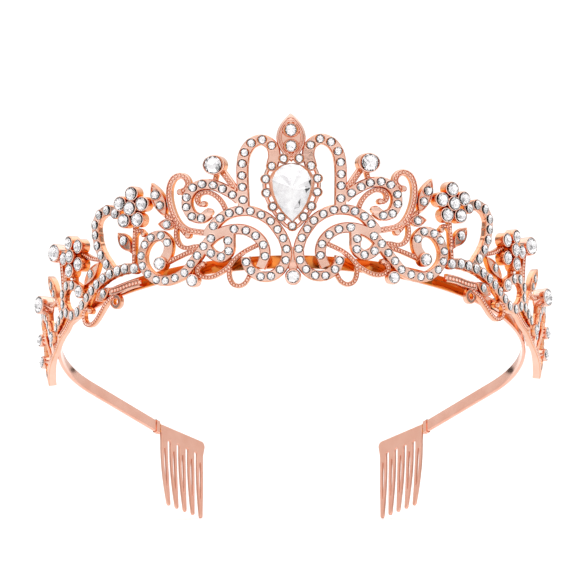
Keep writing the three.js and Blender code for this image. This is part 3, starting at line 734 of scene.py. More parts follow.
# Painted shade: steep edge faces are painted a darker orange for the dark outlines that shade gives them.
edge_shade_metal = metal("edge_shaded_rose_gold", (0.66, 0.29, 0.16), (0.80, 0.42, 0.27), RECESS_SHADE_COLOUR, (0.10, 0.22), 1800)
band_metal = band_plating("band_rose_gold")
shaded_band_metal = paint_covered_band_shade(band_plating("band_rose_gold_painted_shade"))
comb_metal = metal("comb_rose_gold", (0.80, 0.43, 0.32), (0.84, 0.48, 0.37), (0.72, 0.33, 0.22),
                   (0.28, 0.40), 4000, (1, 1, 0.25))
copper = metal("joint_copper", (0.62, 0.20, 0.06), (0.78, 0.30, 0.10), (0.25, 0.05, 0.01),
               (0.18, 0.35), 2500)
stone_materials = [
    stone_material("stone_glass", 400, 3, (0.93, 0.93, 0.94), (1, 1, 1), (0.0, 0.02),
                   {"Transmission Weight": 1, "IOR": 1.6}),
    # Painted shade: the girdle is a dark grey for the shadowed gap between each stone and its seat.
    stone_material("stone_girdle_painted_shade", 900, 3, (0.05, 0.04, 0.04), (0.16, 0.13, 0.12), (0.3, 0.5), {}),
    stone_material("stone_foil", 700, 2, (0.84, 0.82, 0.83), (0.97, 0.96, 0.96), (0.02, 0.08),
                   {"Metallic": 1}),
]

# ---- The crown's design, right half ----
centre_strands = [
    # hoop beside the pear stone
    [STONE_STRAND, [[12, 13.4], [11.9, 16], [11.8, 19.5], [11.7, 22.6], [11.4, 25.8], [10.7, 28.6],
        [9, 31], [6.6, 31.8], [4.5, 30.2], [3.9, 27.6], [4.5, 24.8]]],
    # swag at the foot that turns up into the large arch
    [STONE_STRAND, [[12.6, 0.7], [12.4, -0.8], [11.2, -3.1], [8.8, -4.7], [5.9, -4.8], [3.5, -3.3],
        [1.9, -0.8], [1.6, 2.2], [2.4, 5.2], [3.8, 7.7], [5.4, 9.9], [7.7, 11.7], [10.3, 12.9],
        [13, 13.2], [15.6, 12.9], [18.1, 11.8], [20.2, 10], [22, 8.2]]],
    # inner arch, long scroll and the spiral that ends it
    [STONE_STRAND, [[8.8, -2.4], [7.4, 0.6], [7.6, 3.6], [9.3, 6.2], [11.8, 7.9], [14.8, 8.5], [18, 8.1],
        [21, 6.8], [23.3, 4.9], [25.4, 2.8], [27.5, 0.9], [29.9, -1.1], [32.8, -2], [35.8, -2.1],
        [38.5, -1.2], [40.8, 0.9], [42, 3.5], [41.8, 6.3], [40.1, 8.9], [37.8, 10.3], [34.9, 10.1],
        [33.3, 7.9], [33.9, 5.2], [36.2, 2.9]]],
    # small hook inside the inner arch
    [STONE_STRAND, [[16.2, 7.6], [16.4, 5.5], [16.8, 2.8], [19, 1.4], [21.6, 2.7], [22.7, 4.4]]],
    # C-shaped scroll
    [STONE_STRAND, [[12.9, 16.3], [14.3, 17.8], [16.6, 19.6], [18.8, 20.9], [21.6, 21.5], [24.1, 20.9],
        [26, 18.8], [26.4, 16.2], [25.3, 13.6], [22.9, 12.6], [21, 13.6]]],
    # thin curl inside it
    [THIN_STRAND, [[16.6, 13.6], [17.4, 16], [18.8, 18], [20.8, 19.3], [22.8, 19.1], [23.7, 17.7],
        [23.1, 16.4], [22, 16.3]]],
    # beaded stalk of the stud, and its short prop
    [BEADED_STRAND, [[12.7, 17.4], [16.9, 25.2]]],
    [THIN_STRAND, [[17.6, 25], [18.7, 21.4]]],
    # tall beaded hook
    [BEADED_STRAND, [[21.4, 8.2], [24.9, 9.2], [27.3, 10.1], [29, 11.6], [30.2, 14], [30.9, 17.4],
        [30.9, 20.3], [30.2, 23], [28.9, 24.7], [27.2, 25.1], [25.8, 24.2], [25.3, 22.5], [26.2, 21.1],
        [27.8, 20.6]]],
    # lower beaded hook, its knob and the bar below
    [THIN_STRAND, [[29.8, 12.4], [30.7, 10], [30.8, 8], [30, 6.2], [28.3, 5.4], [26, 5.4], [23.6, 5.1]]],
    [THIN_STRAND, [[29, 10.8], [28.2, 9.3], [27.4, 8.7]]],
    [THIN_STRAND, [[25, 4.2], [28, 4.1], [31.6, 3.4], [35.2, 2.6]]],
    # vine that crosses behind the inner arch
    [THIN_STRAND, [[8.6, 4], [12.9, 2.2], [15.5, 0.5], [17.7, -1.5], [20.1, -2.8], [22.7, -3.5],
        [25, -3.1], [26.3, -1.7], [25.8, -0.3], [24.4, 0.3]]],
    # beaded hook at the foot
    [THIN_STRAND, [[11.8, -4], [13.3, -6.1], [15, -6.8], [16.8, -6.1], [17.6, -4], [17.2, -1.6]]],
    # twig that carries the tall leaf
    [THIN_STRAND, [[30.2, 13.4], [31.6, 14.1], [33.4, 16]]],
    # half of the frame round the pear stone
    [HALO_STRAND, [[-0.6, 7.5], [1.3, 8.3], [3.2, 10.4], [5.1, 13.5], [6.4, 17.3], [6.4, 21.3],
        [4.9, 24.8], [2, 26.9], [-0.6, 27.4]]],
]

centre_leaves = [
    [[32.8, 14.6], [35, 25], 1.85],
    [[30.2, 12.1], [35.3, 13.5], 1.6],
]

side_strands = [
    # lower rail that turns up into the second scroll
    [STONE_STRAND, [[44.2, 3.4], [47.8, 4.3], [50.7, 4.5], [53.6, 4.5], [56.5, 4.1], [59.4, 3.4],
        [62, 2.4], [64.7, 1.3], [67.5, 0.1], [70.3, -0.9], [73.6, -0.7], [76.4, 1.2], [77.7, 4.2],
        [76.9, 7], [73.9, 8.3], [70.6, 7.2], [67.6, 4.6]]],
    # side hoop
    [STONE_STRAND, [[46, 19.4], [47.6, 20.4], [50.2, 21.8], [53.2, 21.5], [55.5, 19.4], [56.1, 16.6],
        [56.2, 13.6], [55.5, 10.6], [54.1, 7.5], [52.8, 5]]],
    # stem of the first flower, the small arch beside it and the leaf's twig
    [THIN_STRAND, [[42.2, 15.5], [43, 12.6], [44, 9], [45.1, 4.6]]],
    [THIN_STRAND, [[40.2, 11.9], [40.7, 12.9], [41.8, 13.3], [43, 12.4]]],
    [THIN_STRAND, [[44.2, 7.6], [45.6, 9.2]]],
    # beaded lower rail and the vine that ends in a curl
    [LOWER_RAIL, [[44.3, -0.5], [48, -0.3], [52, -0.4], [55.4, 0]]],
    [THIN_STRAND, [[54.6, -1.7], [57.4, -2.5], [60.4, -4.2], [63.4, -5.8], [66.2, -6.2], [68.4, -4.6],
        [68.2, -2.2], [66.4, -1.3], [64.7, -2.6]]],
    # twig from the low leaf up to the rail
    [THIN_STRAND, [[58.2, 0.4], [60.6, 2.4]]],
    # twig between the side hoop and the second flower
    [THIN_STRAND, [[56, 9.4], [60, 11.2], [63.3, 13.8]]],
    # stems of the second flower and of the second stud, and a small arch between them
    [THIN_STRAND, [[69.2, 11], [70.2, 7.2]]],
    [BEADED_STRAND, [[75, 17], [75.6, 12.6], [76.6, 7.8]]],
    [THIN_STRAND, [[70, 11.6], [72, 12.6], [73.8, 11.9], [75, 9]]],
    # second rail, and the beaded rail along the foot
    [STONE_STRAND, [[76.8, 2.8], [79.3, 1.9], [82, 1], [84.8, 0.1], [87.4, -1.5]]],
    [FOOT_RAIL, [[73, -0.9], [76, -1.3], [79.4, -2.5], [82, -2.9], [84.5, -3.3], [87, -4], [90, -4.8],
        [96, -5.3], [102, -5.8], [107, -6.2], [111, -6.3]]],
    # stem and side twig of the rear leaf
    [THIN_STRAND, [[82.6, 8.6], [81.4, 4.6], [80.8, 1.6]]],
    [THIN_STRAND, [[82.4, 7.6], [86, 7.6], [90.6, 9.6]]],
    # rear hoop, its inner curl and the stalk of the rear stud
    [STONE_STRAND, [[90.6, -4.4], [91.5, -0.6], [92.6, 3], [93.8, 6.2], [96.5, 9], [100.3, 10.4],
        [104.3, 9.6], [107.4, 6.8], [109, 3.2], [109.6, -0.6], [109.4, -5.6]]],
    [THIN_STRAND, [[96, -5], [98.4, -1.2], [101, 2], [102.6, 4.8], [101.2, 6.2], [99.6, 5.2]]],
    [BEADED_STRAND, [[91.6, 9.4], [92.8, 4.4]]],
]

side_leaves = [
    [[45, 8.2], [48, 14.7], 1.8],
    [[54.8, 0.9], [61.2, -0.9], 1.6],
    [[56.8, 9.1], [65, 4.9], 1.6],
    [[82, 7.4], [85.5, 16.4], 1.9],
]

# Small stones set along the strands, as u and v of each.
SMALL = 1.1
SIDE_SMALL = 1.25
centre_small = [
    # halo round the pear stone
    [1.8, 26.5], [4.6, 24.6], [6.1, 21.2], [6.1, 17.5], [4.7, 13.75], [2.8, 10.85],
    # hoop
    [11.9, 16.1], [11.8, 19.5], [11.7, 22.6], [11.4, 25.8], [10.7, 28.7], [9, 31.1], [6.5, 31.8],
    [4.4, 30.1],
    # swag and large arch
    [12.4, -0.6], [11.3, -3], [8.8, -4.8], [6, -4.8], [3.5, -3.2], [1.9, -0.7], [1.6, 2.3], [2.4, 5.2],
    [3.75, 7.6], [5.4, 9.9], [7.7, 11.7], [10.3, 12.9], [13, 13.3], [15.6, 12.9], [18.1, 11.8],
    [20.1, 10],
    # inner arch, long scroll and spiral
    [7.3, 0.6], [7.6, 3.65], [9.4, 6.2], [11.8, 7.8], [14.8, 8.5], [21.1, 6.8], [23.4, 5], [25.5, 2.8],
    [27.6, 0.9], [29.8, -1.15], [32.8, -2], [35.8, -2.1], [38.5, -1.3], [40.8, 0.9], [42, 3.5],
    [41.8, 6.3], [40.1, 8.9], [37.8, 10.3], [34.8, 10.2], [33.3, 7.9],
    # hook and C-shaped scroll
    [16.7, 5.6], [16.8, 2.8], [19, 1.5], [21.6, 2.8], [14.4, 17.7], [16.7, 19.6], [18.9, 20.9],
    [21.6, 21.6], [24.1, 21.1], [26.1, 18.8], [26.5, 16.25], [25.4, 13.5], [23, 12.6],
]
side_small = [
    # rail and second scroll
    [44.9, 3.5], [48, 4.3], [50.7, 4.5], [53.6, 4.5], [56.5, 4.1], [59.4, 3.4], [62, 2.4], [64.7, 1.4],
    [67.5, 0.1], [70.3, -0.9], [73.6, -0.7], [76.4, 1.2], [77.7, 4.3], [76.9, 7], [73.8, 8.3],
    [70.5, 7.2],
    # side hoop
    [47.6, 20], [50.2, 21.8], [53.2, 21.5], [55.5, 19.4], [56.1, 16.6], [56.2, 13.6], [55.5, 10.6],
    [54.1, 7.5],
    # second rail
    [79.3, 1.9], [82, 1], [84.8, 0.1],
    # rear hoop
    [91.3, -1.9], [92.2, 1.4], [93.2, 4.6], [95, 7.6], [97.8, 9.7], [101.1, 10.5], [104.6, 9.4],
    [109.2, 2.8], [109.5, -3.6],
]
# Stones in leaves, as u, v and radius.
centre_leaf_small = [[34.4, 21.4, 1.25], [33.6, 18.3, 1.15], [32.6, 12.75, 1.1]]
side_leaf_small = [[46.6, 11.9, 1.25], [57.6, 0.1, 1.1], [61.2, 7.1, 1.1], [84.3, 12.8, 1.2],
                   [83.3, 9.9, 1.1]]
# Round knobs at the ends of thin strands, as u, v and radius.
centre_knobs = [[22, 16.3, 0.85], [27.8, 20.7, 0.85], [27.4, 8.7, 0.95], [20.9, 13.9, 1.1],
                [24.4, 0.3, 0.8]]
side_knobs = [[40.2, 11.9, 0.8], [64.7, -2.6, 0.85], [99.6, 5.2, 0.8], [84.3, -3.2, 1.2]]

STUD = 2.35
PETAL = 1.75
FLOWER_FLOOR = 1.8
FIRST_FLOWER = [41.8, 19.6]
SECOND_FLOWER = [67.2, 14.6]
FLOWER_BACK_RADIUS = 3.2
FLOWER_BACK_FACE = 0.8
CUP_WALL = 0.3
RING = [53.9, -3.3]
RING_RADIUS = 1.45
RING_SIDES = 32


def cup(name, u, v, radius, floor, turn=0.0):
    """A stone in a cup: turn is how far it looks more to the front than the crown does there."""
    return name, u, v, radius, floor, math.radians(turn)


def flower(name, centre, petals):
    cups = [cup(f"{name}_centre", *centre, PETAL, FLOWER_FLOOR + 0.2)]
    for i, (du, dv) in enumerate(petals):
        cups.append(cup(f"{name}_petal_{i + 1}", centre[0] + du, centre[1] + dv, PETAL, FLOWER_FLOOR))
    return cups


centre_cups = [
    cup("front_stud", 17.7, 26.1, STUD, 3.1),
    cup("foot_drop", 27.7, -3.7, 1.5, 1.5),
    cup("front_scroll", 36.2, 2.7, 1.6, 1.6),
]
side_cups = [
    cup("side_stud", 75, 18.6, STUD, 2.4, 15),
    cup("rear_stud", 91.5, 9.7, STUD, 3.1, 18),
    cup("rear_hoop_upper", 108.1, 5.9, 1.6, 1.8, 20),
    cup("rear_hoop_lower", 109.6, -0.4, 1.6, 1.8, 20),
    cup("side_scroll", 66.6, 3.9, 1.6, 1.6),
    cup("rail_end", 87.6, -1.7, 1.5, 1.5),
    *flower("side_flower", FIRST_FLOWER,
            [[-1.2, 3.8], [2.9, 2.2], [2.7, -2.7], [-1.5, -3.6], [-3.7, 0.2]]),
    *flower("rear_flower", SECOND_FLOWER,
            [[-0.3, 3.8], [3.5, 0.8], [1.8, -3.6], [-2.9, -3.5], [-4.3, 1.3]]),
]

PEAR_LOW = 9.9
PEAR_HIGH = 24.9
PEAR_RADIUS = 5.1
PEAR_CENTRE = PEAR_HIGH - PEAR_RADIUS
PEAR_HEART = PEAR_CENTRE - 1.2
PEAR_GIRDLE = 2.5
PEAR_THICK = 0.1
PEAR_CROWN = 0.56
PEAR_STAR = 0.62
PEAR_BACK = 0.46
PEAR_LOWER = 0.8
PEAR_UNEVEN = 0.12
PEAR_TABLE_INSET = 2.0
PEAR_STAR_INSET = 0.95
PEAR_LOW_INSET = 3.3
PEAR_SEAT = 1.2
# How far outside the pear's drawn outline these stand: the bezel and its two steps, then the top of the
# seat's wall, the edge of the stone and the foot of that wall.
PEAR_BEZEL = 0.4
PEAR_BEZEL_STEPS = (0.32, 0.24)
PEAR_WALL_TOP = 0.16
PEAR_EDGE = 0.14
PEAR_WALL_FOOT = 0.12
PEAR_FINE = 60
# How fast the tip draws back as the outline shrinks, and where its sides bend, as shares of the
# radius and of the height.
PEAR_TIP_DRAW = 1.6
PEAR_BEND = (0.86, 0.36)
TOP_LEAF = [[0, 25.6], [0, 38.6], 3.3]
top_leaf_stones = [["leaf_stone_1", 0, 34.1, 1.6], ["leaf_stone_2", 0, 29.8, 1.5]]
TOP_LEAF_GIRDLE = 1.85
FOOT_STONE = ["foot_stone_centre", 0, -5.2, 1.65, 1.5]
FOOT_WEB = [[0, -5.4], [0, 3], 1.4]
HALO_FOOT = [0, 8.4]
HALO_RIM = 0.32
HALO_COUNT = 6
FOOT_CUP_PROFILE = [(0, 1.0), (0.1, 1.5)]
FOOT_CUP_RIM = [(0.3, -0.1), (0.45, 0)]


def pear_outline(inset, steps=14):
    """Three quarters of a circle whose sides run on to a point, anticlockwise from the point."""
    radius = PEAR_RADIUS - inset
    tip = PEAR_LOW + PEAR_TIP_DRAW * inset
    bend_out, bend_up = PEAR_BEND
    bend = tip + bend_up * (PEAR_CENTRE - tip)
    t = np.linspace(0, 1, steps, endpoint=False)
    side = np.stack([2 * t * (1 - t) * bend_out * radius + t * t * radius,
                     (1 - t) ** 2 * tip + 2 * t * (1 - t) * bend + t * t * PEAR_CENTRE], axis=1)
    top = arc(radius, np.linspace(0, math.pi, 2 * steps, endpoint=False)) + [0, PEAR_CENTRE]
    back = side[::-1] * [-1, 1]
    return np.vstack([side, top, [[-radius, PEAR_CENTRE]], back[:-1]])


# ---- Castings ----
CUP_ROOM = 0.15
CUP_PLAY = 0.03
CUP_SIDES = 28
CUP_RIM = [(0, -0.3), (0.08, -0.08), (0.2, 0)]
CUP_LIFT = 0.25
PAVILION = 0.18
TURNED_CUP_FOOT = 0.4
TURNED_CUP_SIDES = 32
TURNED_CUP_BASE = [(0, 1.0), (0.15, CASTING_FACE)]
SMALL_PLAY = 0.08
SMALL_SEAT_FLOOR = 0.7
SMALL_GIRDLE = 1.34
SMALL_LIP = 1.36
LEAF_PLAY = 0.06
LEAF_SEAT_FLOOR = 0.1
LEAF_GIRDLE = 1.24
LEAF_LIP = LEAF_GIRDLE + 0.02
KNOB_PROFILE = [(0, 0.8), (0.1, 1.1), (0.3, 1.35)]
KNOB_TOP = 1.5
KNOB_SIDES = 16
PEAR_BEZEL_PROFILE = [(0, 1.4), (0.08, 2.2), (0.16, 2.42)]
HALO_SEAT_PROFILE = [(0, 0.8), (0.1, 1.2), (0.22, SMALL_GIRDLE)]
TOP_LEAF_WALL = 0.35
TOP_LEAF_FLOOR = 1.2
TOP_LEAF_PROFILE = [(0, 1.2), (0.1, 1.6), (0.22, TOP_LEAF_GIRDLE)]
TOP_LEAF_STEPS = 30
FLOWER_BACK_PROFILE = [(0, 0.4), (0.15, FLOWER_BACK_FACE)]
BEAD_HEIGHT = 0.72
BEAD_CLEAR = 0.1
CASTING_SMOOTH = 32
BEAD_SMOOTH = 60
mirrored = {"left": -1, "right": 1}
profiles = {
    STONE_STRAND: STONE_PROFILE,
    BEADED_STRAND: BEADED_PROFILE,
    THIN_STRAND: THIN_PROFILE,
    LOWER_RAIL: BEADED_PROFILE,
    FOOT_RAIL: BEADED_PROFILE,
    HALO_STRAND: HALO_PROFILE,
}
bead_sizes = {  # radius and pitch
    BEADED_STRAND: (0.46, 1.0),
    THIN_STRAND: (0.4, 0.88),
    LOWER_RAIL: (0.55, 1.15),
    FOOT_RAIL: (0.48, 1.02),
}


def cup_height(radius, floor):
    """How far out the girdle of a stone in a cup stands."""
    return floor + GAP + CUP_LIFT * radius


def cup_seat(radius, floor):
    """How far out the bottom of the cup stands."""
    return cup_height(radius, floor) - PAVILION * radius - CUP_ROOM


def rim_profile(rim, steps=CUP_RIM):
    return [(inset, rim + drop) for inset, drop in steps]


def seat_in_cup(relief, u, v, radius, floor):
    relief.seat(u, v, radius + CUP_PLAY, floor, None, CUP_SIDES)


def add_half(relief, strands, leaves, cups, small, small_radius, leaf_small, knobs, side):
    """Draws half of a casting. Returns the lines that carry beading, and where the stones go."""
    beading, stones = [], []
    for width, points in strands:
        line = relief.strand([[u * side, v] for u, v in points], width, profiles[width])
        if width in bead_sizes:
            beading.append((line, *bead_sizes[width]))
    for (u1, v1), (u2, v2), half_width in leaves:
        relief.leaf([u1 * side, v1], [u2 * side, v2], half_width, LEAF_PROFILE)
    for u, v, radius in knobs:
        relief.disc(u * side, v, radius, [*KNOB_PROFILE, (radius, KNOB_TOP)], KNOB_SIDES)
    for _, u, v, radius, floor, turn in cups:
        if turn:
            relief.disc(u * side, v, radius + CUP_WALL, TURNED_CUP_BASE)
        else:
            relief.disc(u * side, v, radius + CUP_WALL, rim_profile(cup_height(radius, floor)))
            seat_in_cup(relief, u * side, v, radius, cup_seat(radius, floor))
    for u, v in small:
        relief.seat(u * side, v, small_radius + SMALL_PLAY, SMALL_SEAT_FLOOR, SMALL_LIP)
        stones.append((u * side, v, small_radius, SMALL_GIRDLE))
    for u, v, radius in leaf_small:
        relief.seat(u * side, v, radius + LEAF_PLAY, LEAF_SEAT_FLOOR, LEAF_LIP)
        stones.append((u * side, v, radius, LEAF_GIRDLE))
    return beading, stones


def turned_cups(cups, side):
    """The cups that are turned to the front, each as its points and faces."""
    bodies = []
    for _, u, v, radius, floor, turn in cups:
        if turn:
            wall, inside, seat = radius + CUP_WALL, radius + CUP_PLAY, cup_seat(radius, floor)
            rim = cup_height(radius, floor)
            points, faces = lathe([
                (0, TURNED_CUP_FOOT), (wall, TURNED_CUP_FOOT),
                *[(wall - inset, rise) for inset, rise in rim_profile(rim)],
                (inside, rim), (inside, seat), (0, seat),
            ], TURNED_CUP_SIDES)
            bodies.append((placed(points, u * side, v, 0, -side * turn), faces))
    return bodies


def add_beads(bundle, relief, beading):
    """Beads along each beaded line, left out where something else covers it."""
    for line, radius, pitch in beading:
        at = spaced(line, pitch)
        face, _ = relief.height(at)
        for (u, v), rise in zip(at, face):
            if rise < BEAD_HEIGHT + BEAD_CLEAR:
                points, faces = bead(radius)
                bundle.add(placed(points, u, v, BEAD_HEIGHT), faces)


def stone_bundle(stones, cut):
    bundle = Bundle()
    for u, v, radius, rise in stones:
        size = radius * random.uniform(*SIZE_SPREAD)
        points, faces, kinds = round_stone(size, cut, random.uniform(*TURN_SPREAD))
        bundle.add(placed(points, u, v, rise), faces, kinds)
    return bundle


def casting_piece(name, relief, beading, node, bodies=()):
    bundle = Bundle()
    points, faces, kinds = relief.build()
    bundle.add(on_crown(points), faces, kinds)
    for body in bodies:
        bundle.add(*body)
    bundle.piece(name, [cast_metal, wall_metal, edge_shade_metal], "cast_alloy", [node], CASTING_SMOOTH)
    beads = Bundle()
    add_beads(beads, relief, beading)
    beads.piece(f"{name}_beading", [cast_metal], "cast_alloy", (), BEAD_SMOOTH)


def single_stone(node, stone, u, v, rise, turn=0.0):
    """The cut stone that takes the place of one CAD stone."""
    points, faces, kinds = stone
    make_piece(f"{node}_cut", placed(points, u, v, rise, turn), faces, stone_materials, [node],
               kinds)


def big_stone(name, u, v, radius, rise, turn=0.0):
    stone = round_stone(radius, LARGE_CUT, random.uniform(*TURN_SPREAD))
    single_stone(name, stone, u, v, rise, turn)


# centre casting
centre = Relief()
beading, stones = [], []
for side in (-1, 1):
    lines, found = add_half(centre, centre_strands, centre_leaves, centre_cups, centre_small, SMALL,
                            centre_leaf_small, centre_knobs, side)
    beading += lines
    stones += found
centre.outline(pear_outline(-PEAR_BEZEL), [pear_outline(-step) for step in PEAR_BEZEL_STEPS],
               PEAR_BEZEL_PROFILE)
centre.leaf(*TOP_LEAF, TALL_LEAF_PROFILE, TOP_LEAF_STEPS)
centre.leaf(*FOOT_WEB, WEB_PROFILE)
for u, v in [HALO_FOOT, *centre_small[:HALO_COUNT]]:
    for side in (-1, 1):
        centre.disc(u * side, v, SMALL + HALO_RIM, HALO_SEAT_PROFILE, SEAT_SIDES)
centre.seat(*HALO_FOOT, SMALL + SMALL_PLAY, SMALL_SEAT_FLOOR)
stones.append((*HALO_FOOT, SMALL, SMALL_GIRDLE))
foot_name, u, v, radius, floor = FOOT_STONE
foot_rim = cup_height(radius, floor)
centre.disc(u, v, radius + 2 * CUP_WALL, [*FOOT_CUP_PROFILE, *rim_profile(foot_rim, FOOT_CUP_RIM)])
seat_in_cup(centre, u, v, radius, cup_seat(radius, floor))
for _, leaf_u, leaf_v, leaf_radius in top_leaf_stones:
    centre.disc(leaf_u, leaf_v, leaf_radius + TOP_LEAF_WALL, TOP_LEAF_PROFILE)
    seat_in_cup(centre, leaf_u, leaf_v, leaf_radius, TOP_LEAF_FLOOR)
centre.shaped_seat(pear_outline(-PEAR_EDGE), pear_outline(-PEAR_WALL_FOOT), PEAR_SEAT)
centre.add_loop(pear_outline(-PEAR_WALL_TOP))
casting_piece("centre_casting", centre, beading, "crown_centre")
stone_bundle(stones, SMALL_CUT).piece("centre_small_stones", stone_materials, "crystal")


# pear stone and the stones above and below it
def pear_ring(inset, turns):
    """The pear's outline that far in from its edge, at the given directions from its heart."""
    ring = pear_outline(inset - PEAR_EDGE, PEAR_FINE)
    found = np.arctan2(ring[:, 1] - PEAR_HEART, ring[:, 0])
    nearest = [np.argmin(np.abs(np.angle(np.exp(1j * (found - turn))))) for turn in turns]
    return ring[nearest] - [0, PEAR_CENTRE]


mains = np.linspace(0, 2 * math.pi, 2 * MAINS, endpoint=False) - math.pi / 2
pear_rings = [
    pear_ring(PEAR_TABLE_INSET, mains[0::2]),
    pear_ring(PEAR_STAR_INSET, mains[1::2]),
    pear_ring(0, mains),
    pear_ring(PEAR_LOW_INSET, mains[1::2]),
    [0, PEAR_HEART - PEAR_CENTRE],
]
pear_lower = wobble(PEAR_UNEVEN) - PEAR_LOWER * PEAR_BACK
pear_heights = [PEAR_CROWN, PEAR_STAR * PEAR_CROWN, pear_lower, -PEAR_BACK]
single_stone("pear_stone", cut_stone(pear_rings, pear_heights, PEAR_THICK), 0, PEAR_CENTRE, PEAR_GIRDLE)
for name, leaf_u, leaf_v, leaf_radius in top_leaf_stones:
    big_stone(name, leaf_u, leaf_v, leaf_radius, TOP_LEAF_GIRDLE + CUP_PLAY)
big_stone(foot_name, u, v, radius, foot_rim)

# side castings
for label, side in mirrored.items():
    relief = Relief()
    beading, stones = add_half(relief, side_strands, side_leaves, side_cups, side_small, SIDE_SMALL,
                               side_leaf_small, side_knobs, side)
    for u, v in (FIRST_FLOWER, SECOND_FLOWER):
        relief.disc(u * side, v, FLOWER_BACK_RADIUS, FLOWER_BACK_PROFILE)
    ring = circle(RING[0] * side, RING[1], RING_RADIUS, RING_SIDES)
    relief.strand(np.vstack([ring, ring[:2]]), THIN_STRAND, THIN_PROFILE)
    casting_piece(f"side_casting_{label}", relief, beading, f"crown_side_{label}",
                  turned_cups(side_cups, side))
    side_stones = stone_bundle(stones, SIDE_CUT)
    side_stones.piece(f"side_small_stones_{label}", stone_materials, "crystal")
for label, side in mirrored.items():
    for name, u, v, radius, floor, turn in [*centre_cups, *side_cups]:
        big_stone(f"{name}_stone_{label}", u * side, v, radius, cup_height(radius, floor), -side * turn)


# ---- Headband ----
FRONT_STEPS = 70
TEMPLE_STEPS = 60
ARM_STEPS = 12
BAND_ROUND = 0.3
BAND_SMOOTH = 35


def band_line():
    """The middle of the band from the front to the end of its straight arm, and the arm's direction."""
    turned = FRONT_HALF_ANGLE + TEMPLE_ANGLE
    quarter = math.pi / 2
    front = np.linspace(0, FRONT_HALF_ANGLE, FRONT_STEPS) - quarter
    temple = np.linspace(FRONT_HALF_ANGLE, turned, TEMPLE_STEPS)[1:] - quarter
    offset = FRONT_RADIUS - TEMPLE_RADIUS
    centre_point = np.array([offset * math.sin(FRONT_HALF_ANGLE), -offset * math.cos(FRONT_HALF_ANGLE)])
    first = arc(FRONT_RADIUS, front)
    second = centre_point + arc(TEMPLE_RADIUS, temple)
    along = np.array([math.cos(turned), math.sin(turned)])
    arm = second[-1] + along * np.linspace(0, ARM_LENGTH, ARM_STEPS)[1:, None]
    return np.vstack([first, second, arm]), along


def rounded_section(width, height, radius, steps=4):
    """A rounded rectangle across a strip, anticlockwise."""
    points = []
    for cx, cy, start in ((1, 1, 0), (-1, 1, 90), (-1, -1, 180), (1, -1, 270)):
        for i in range(steps + 1):
            turn = math.radians(start + 90 * i / steps)
            points.append([cx * (width / 2 - radius) + radius * math.cos(turn),
                           cy * (height / 2 - radius) + radius * math.sin(turn)])
    return np.array(points)


def sweep(line, section):
    """A closed body whose section follows a line in the band's plane."""
    normals = -line_normals(line)
    count = len(section)
    points = np.array([[*(point + normal * x), z]
                       for point, normal in zip(line, normals) for x, z in section])
    faces = []
    for level in range(len(line) - 1):
        for i in range(count):
            a, b = level * count + i, level * count + (i + 1) % count
            faces.append([a, b, b + count, a + count])
    faces.append(list(range(count))[::-1])
    faces.append([len(points) - count + i for i in range(count)])
    return points, faces


def mirrored_body(points, faces, side):
    """The body itself for the right side, and its mirror image for the left."""
    return points * [side, 1, 1], faces if side > 0 else [face[::-1] for face in faces]


right_line, arm_direction = band_line()
whole = np.vstack([right_line[:0:-1] * [-1, 1], right_line])
section = rounded_section(BAND_THICKNESS, BAND_WIDTH, BAND_ROUND)
points, faces = sweep(whole, section)
# The band's outer faces take the second material, with the painted shade where the crown covers them.
outer_side = [int(min(x, after) > 0) for x, after in zip(section[:, 0], np.roll(section[:, 0], -1))]
kinds = outer_side * (len(whole) - 1) + [0, 0]
make_piece("headband_strip", on_band(points), faces, [band_metal, shaded_band_metal],
           ["headband"], kinds, BAND_SMOOTH)
arm_end = right_line[-1]


# ---- Combs ----
# Widths down the comb: of a pair of tines, and of the slot that parts it.
PAIR_PITCH = COMB_LENGTH / TINE_PAIRS
PAIR_WIDTHS = [[PLATE_DEPTH + 0.6, 2.9], [10, 2.9], [15, 2.7], [19.5, 2.2], [23.4, 1.6], [25.2, 1.3]]
EYE_WIDTHS = [[EYE_START, 0.3], [9, 0.8], [13, 1], [17, 0.7], [EYE_END, 0.2]]
COMB_STEP = 0.8
CORNER = 1.6
CORNER_STEPS = 7
BEVEL = 0.3
TIP_HALF = 0.35
TIP_RISE = 0.12
FORK_HALF = 0.5
FORK_RISE = 0.1
EDGE_ROUND = 0.2
EDGE_ROUND_STEPS = 2
# How far the first pair sweeps sideways at its tip, how much less each next one does, and how late.
SWEEP = 2.9
SWEEP_LESS = 0.45
SWEEP_POWER = 1.7


def sweep_at(pair, down):
    reach = np.maximum(down - PLATE_DEPTH, 0) / (COMB_HEIGHT - PLATE_DEPTH)
    return (SWEEP - SWEEP_LESS * pair) * reach ** SWEEP_POWER


def both_edges(pair, widths):
    """The right edge going down and the left edge coming up, round a pair's middle."""
    down, width = smooth_line(widths, COMB_STEP).T
    x = (pair + 0.5) * PAIR_PITCH + sweep_at(pair, down)
    return np.stack([x + width / 2, -down], axis=1), np.stack([x - width / 2, -down], axis=1)[::-1]


